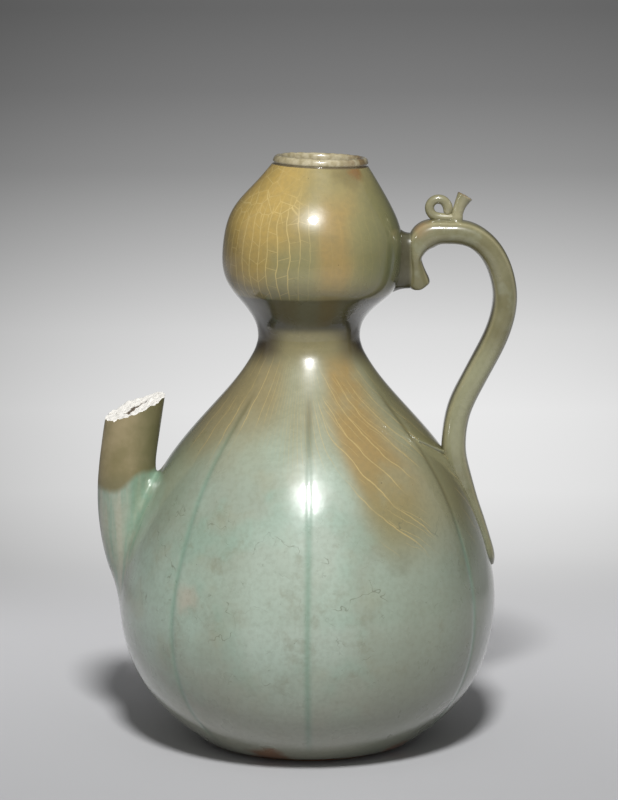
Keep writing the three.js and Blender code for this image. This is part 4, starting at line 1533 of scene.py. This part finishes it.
@dataclass
class Studio:
    """Pale sweep, one small high lamp and the camera of the photograph."""

    camera_place: tuple = (0.0, -1.45, 0.404)
    camera_pitch: float = math.radians(9.18)
    lens: float = 134.3
    # Floor greys with painted light: darker near the camera, paler behind the pot.
    near_floor_painted_shade: tuple = srgb(178, 178, 180)
    far_floor_painted_light: tuple = srgb(226, 226, 228)
    bounce: tuple = srgb(150, 150, 150)
    key_place: tuple = (0.02, -1.05, 1.35)
    key_size: float = 0.27
    key_watts: float = 26.0
    fill: float = 0.23
    pale: float = 0.6
    # Greys of the painted glow behind the pot, by slope of the view below level.
    backdrop: tuple = (
        (0.030, 105), (0.057, 123), (0.084, 149), (0.110, 186), (0.138, 219),
        (0.165, 234), (0.193, 231), (0.220, 212), (0.240, 205),
    )

    def build_camera(self) -> None:
        """Places the camera, which comes first."""
        data = bpy.data.cameras.new("camera")
        data.lens = self.lens
        data.sensor_width = 36
        camera = bpy.data.objects.new("camera", data)
        camera.location = self.camera_place
        camera.rotation_euler = (math.pi / 2 - self.camera_pitch, 0, 0)
        bpy.context.scene.collection.objects.link(camera)
        bpy.context.scene.camera = camera

    def build_sweep(self) -> None:
        """Floor that curves up into a wall, whose painted glow darkens with height."""
        front, bend, radius, top, half = -3.0, 0.75, 0.9, 3.2, 4.0
        turns = np.linspace(0, math.pi / 2, 40)
        arc = [(bend + radius * math.sin(t), radius - radius * math.cos(t)) for t in turns]
        line = [(front, 0.0), *arc, (bend + radius, top)]
        verts = [(x, y, z) for y, z in line for x in (-half, half)]
        faces = [(2 * i, 2 * i + 1, 2 * i + 3, 2 * i + 2) for i in range(len(line) - 1)]
        mesh = bpy.data.meshes.new("sweep")
        mesh.from_pydata(verts, [], faces)
        mesh.shade_smooth()
        sweep = bpy.data.objects.new("sweep", mesh)
        bpy.context.scene.collection.objects.link(sweep)
        mesh.materials.append(self.sweep_finish())

    def sweep_finish(self) -> bpy.types.Material:
        """Grey paper: lit by the lamp near the pot and painted darker towards the camera, and behind it a
        painted glow that darkens with height and to the sides.
        """
        g = Graph("paper")
        path = g.node("ShaderNodeLightPath").outputs
        # Painted light on the floor: darker towards the camera, paler behind the pot.
        paper = g.mix(g.ramp(g.y, -0.2, 0.3), self.near_floor_painted_shade, self.far_floor_painted_light)
        paper = g.mix(path["Is Diffuse Ray"], paper, self.bounce)
        diffuse = g.node("ShaderNodeBsdfDiffuse", {}, {"Color": paper}).outputs[0]
        away = g.minus(g.y, self.camera_place[1])
        fall = g.math("DIVIDE", g.minus(self.camera_place[2], g.z), away)
        low, high = self.backdrop[0][0], self.backdrop[-1][0]
        facts = {"interpolation_type": "LINEAR"}
        inputs = {"Value": fall, "From Min": low, "From Max": high}
        spread = g.node("ShaderNodeMapRange", facts, inputs).outputs[0]
        shade = g.node("ShaderNodeValToRGB", {}, {"Fac": spread})
        stops = shade.color_ramp.elements
        for slope, grey in self.backdrop[1:-1]:
            stops.new((slope - low) / (high - low)).color = srgb(grey, grey, grey)
        for stop, (_, grey) in ((stops[0], self.backdrop[0]), (stops[len(stops) - 1], self.backdrop[-1])):
            stop.color = srgb(grey, grey, grey)
        # Painted glow, dimmer towards the sides.
        aside = g.minus(g.math("DIVIDE", g.x, away), 0.03)
        darker = g.math("MAXIMUM", g.minus(1.0, g.times(aside, aside, 15.0)), 0.4)
        glow = g.node("ShaderNodeEmission", {}, {"Color": shade.outputs[0], "Strength": darker}).outputs[0]
        seen = g.math("MAXIMUM", path["Is Camera Ray"], path["Is Glossy Ray"])
        return g.finish(g.blend(g.times(g.ramp(g.y, 0.2, 0.45), seen), diffuse, glow))

    def build_light(self) -> None:
        """Small key lamp high above the camera, and an even, dim sky that looks pale itself."""
        data = bpy.data.lights.new("key", "AREA")
        data.shape = "DISK"
        data.size, data.energy = self.key_size, self.key_watts
        key = bpy.data.objects.new("key", data)
        key.location = self.key_place
        aim = Vector((0, 0, 0.15)) - Vector(self.key_place)
        key.rotation_euler = aim.to_track_quat("-Z", "Y").to_euler()
        bpy.context.scene.collection.objects.link(key)
        world = bpy.data.worlds.new("studio")
        world.use_nodes = True
        tree = world.node_tree
        sky = tree.nodes["Background"].inputs
        sky["Color"].default_value = (1, 1, 1, 1)
        path = tree.nodes.new("ShaderNodeLightPath")
        share = tree.nodes.new("ShaderNodeMapRange")
        share.inputs["To Min"].default_value = self.fill
        share.inputs["To Max"].default_value = self.pale
        tree.links.new(path.outputs["Is Camera Ray"], share.inputs["Value"])
        tree.links.new(share.outputs["Result"], sky["Strength"])
        bpy.context.scene.world = world


def main() -> None:
    """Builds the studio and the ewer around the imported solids."""
    logging.basicConfig(level=logging.INFO, format="%(message)s")
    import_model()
    studio = Studio()
    studio.build_camera()
    studio.build_sweep()
    studio.build_light()
    plaster, worn = OldPlaster().build(), Celadon(Zone.LIP).build()
    pot = Pot()
    LowerBulb(pot).build(Celadon(Zone.LOWER).build(), FiredClay().build())
    UpperBulb(pot).build(Celadon(Zone.UPPER).build(), worn)
    Spout(pot).build(RestoredSkin().over(Celadon(Zone.SPOUT)), plaster)
    Handle(pot).build(Celadon(Zone.HANDLE).build(), worn)
    bpy.context.scene.view_settings.view_transform = "Standard"


if __name__ == "__main__":
    main()
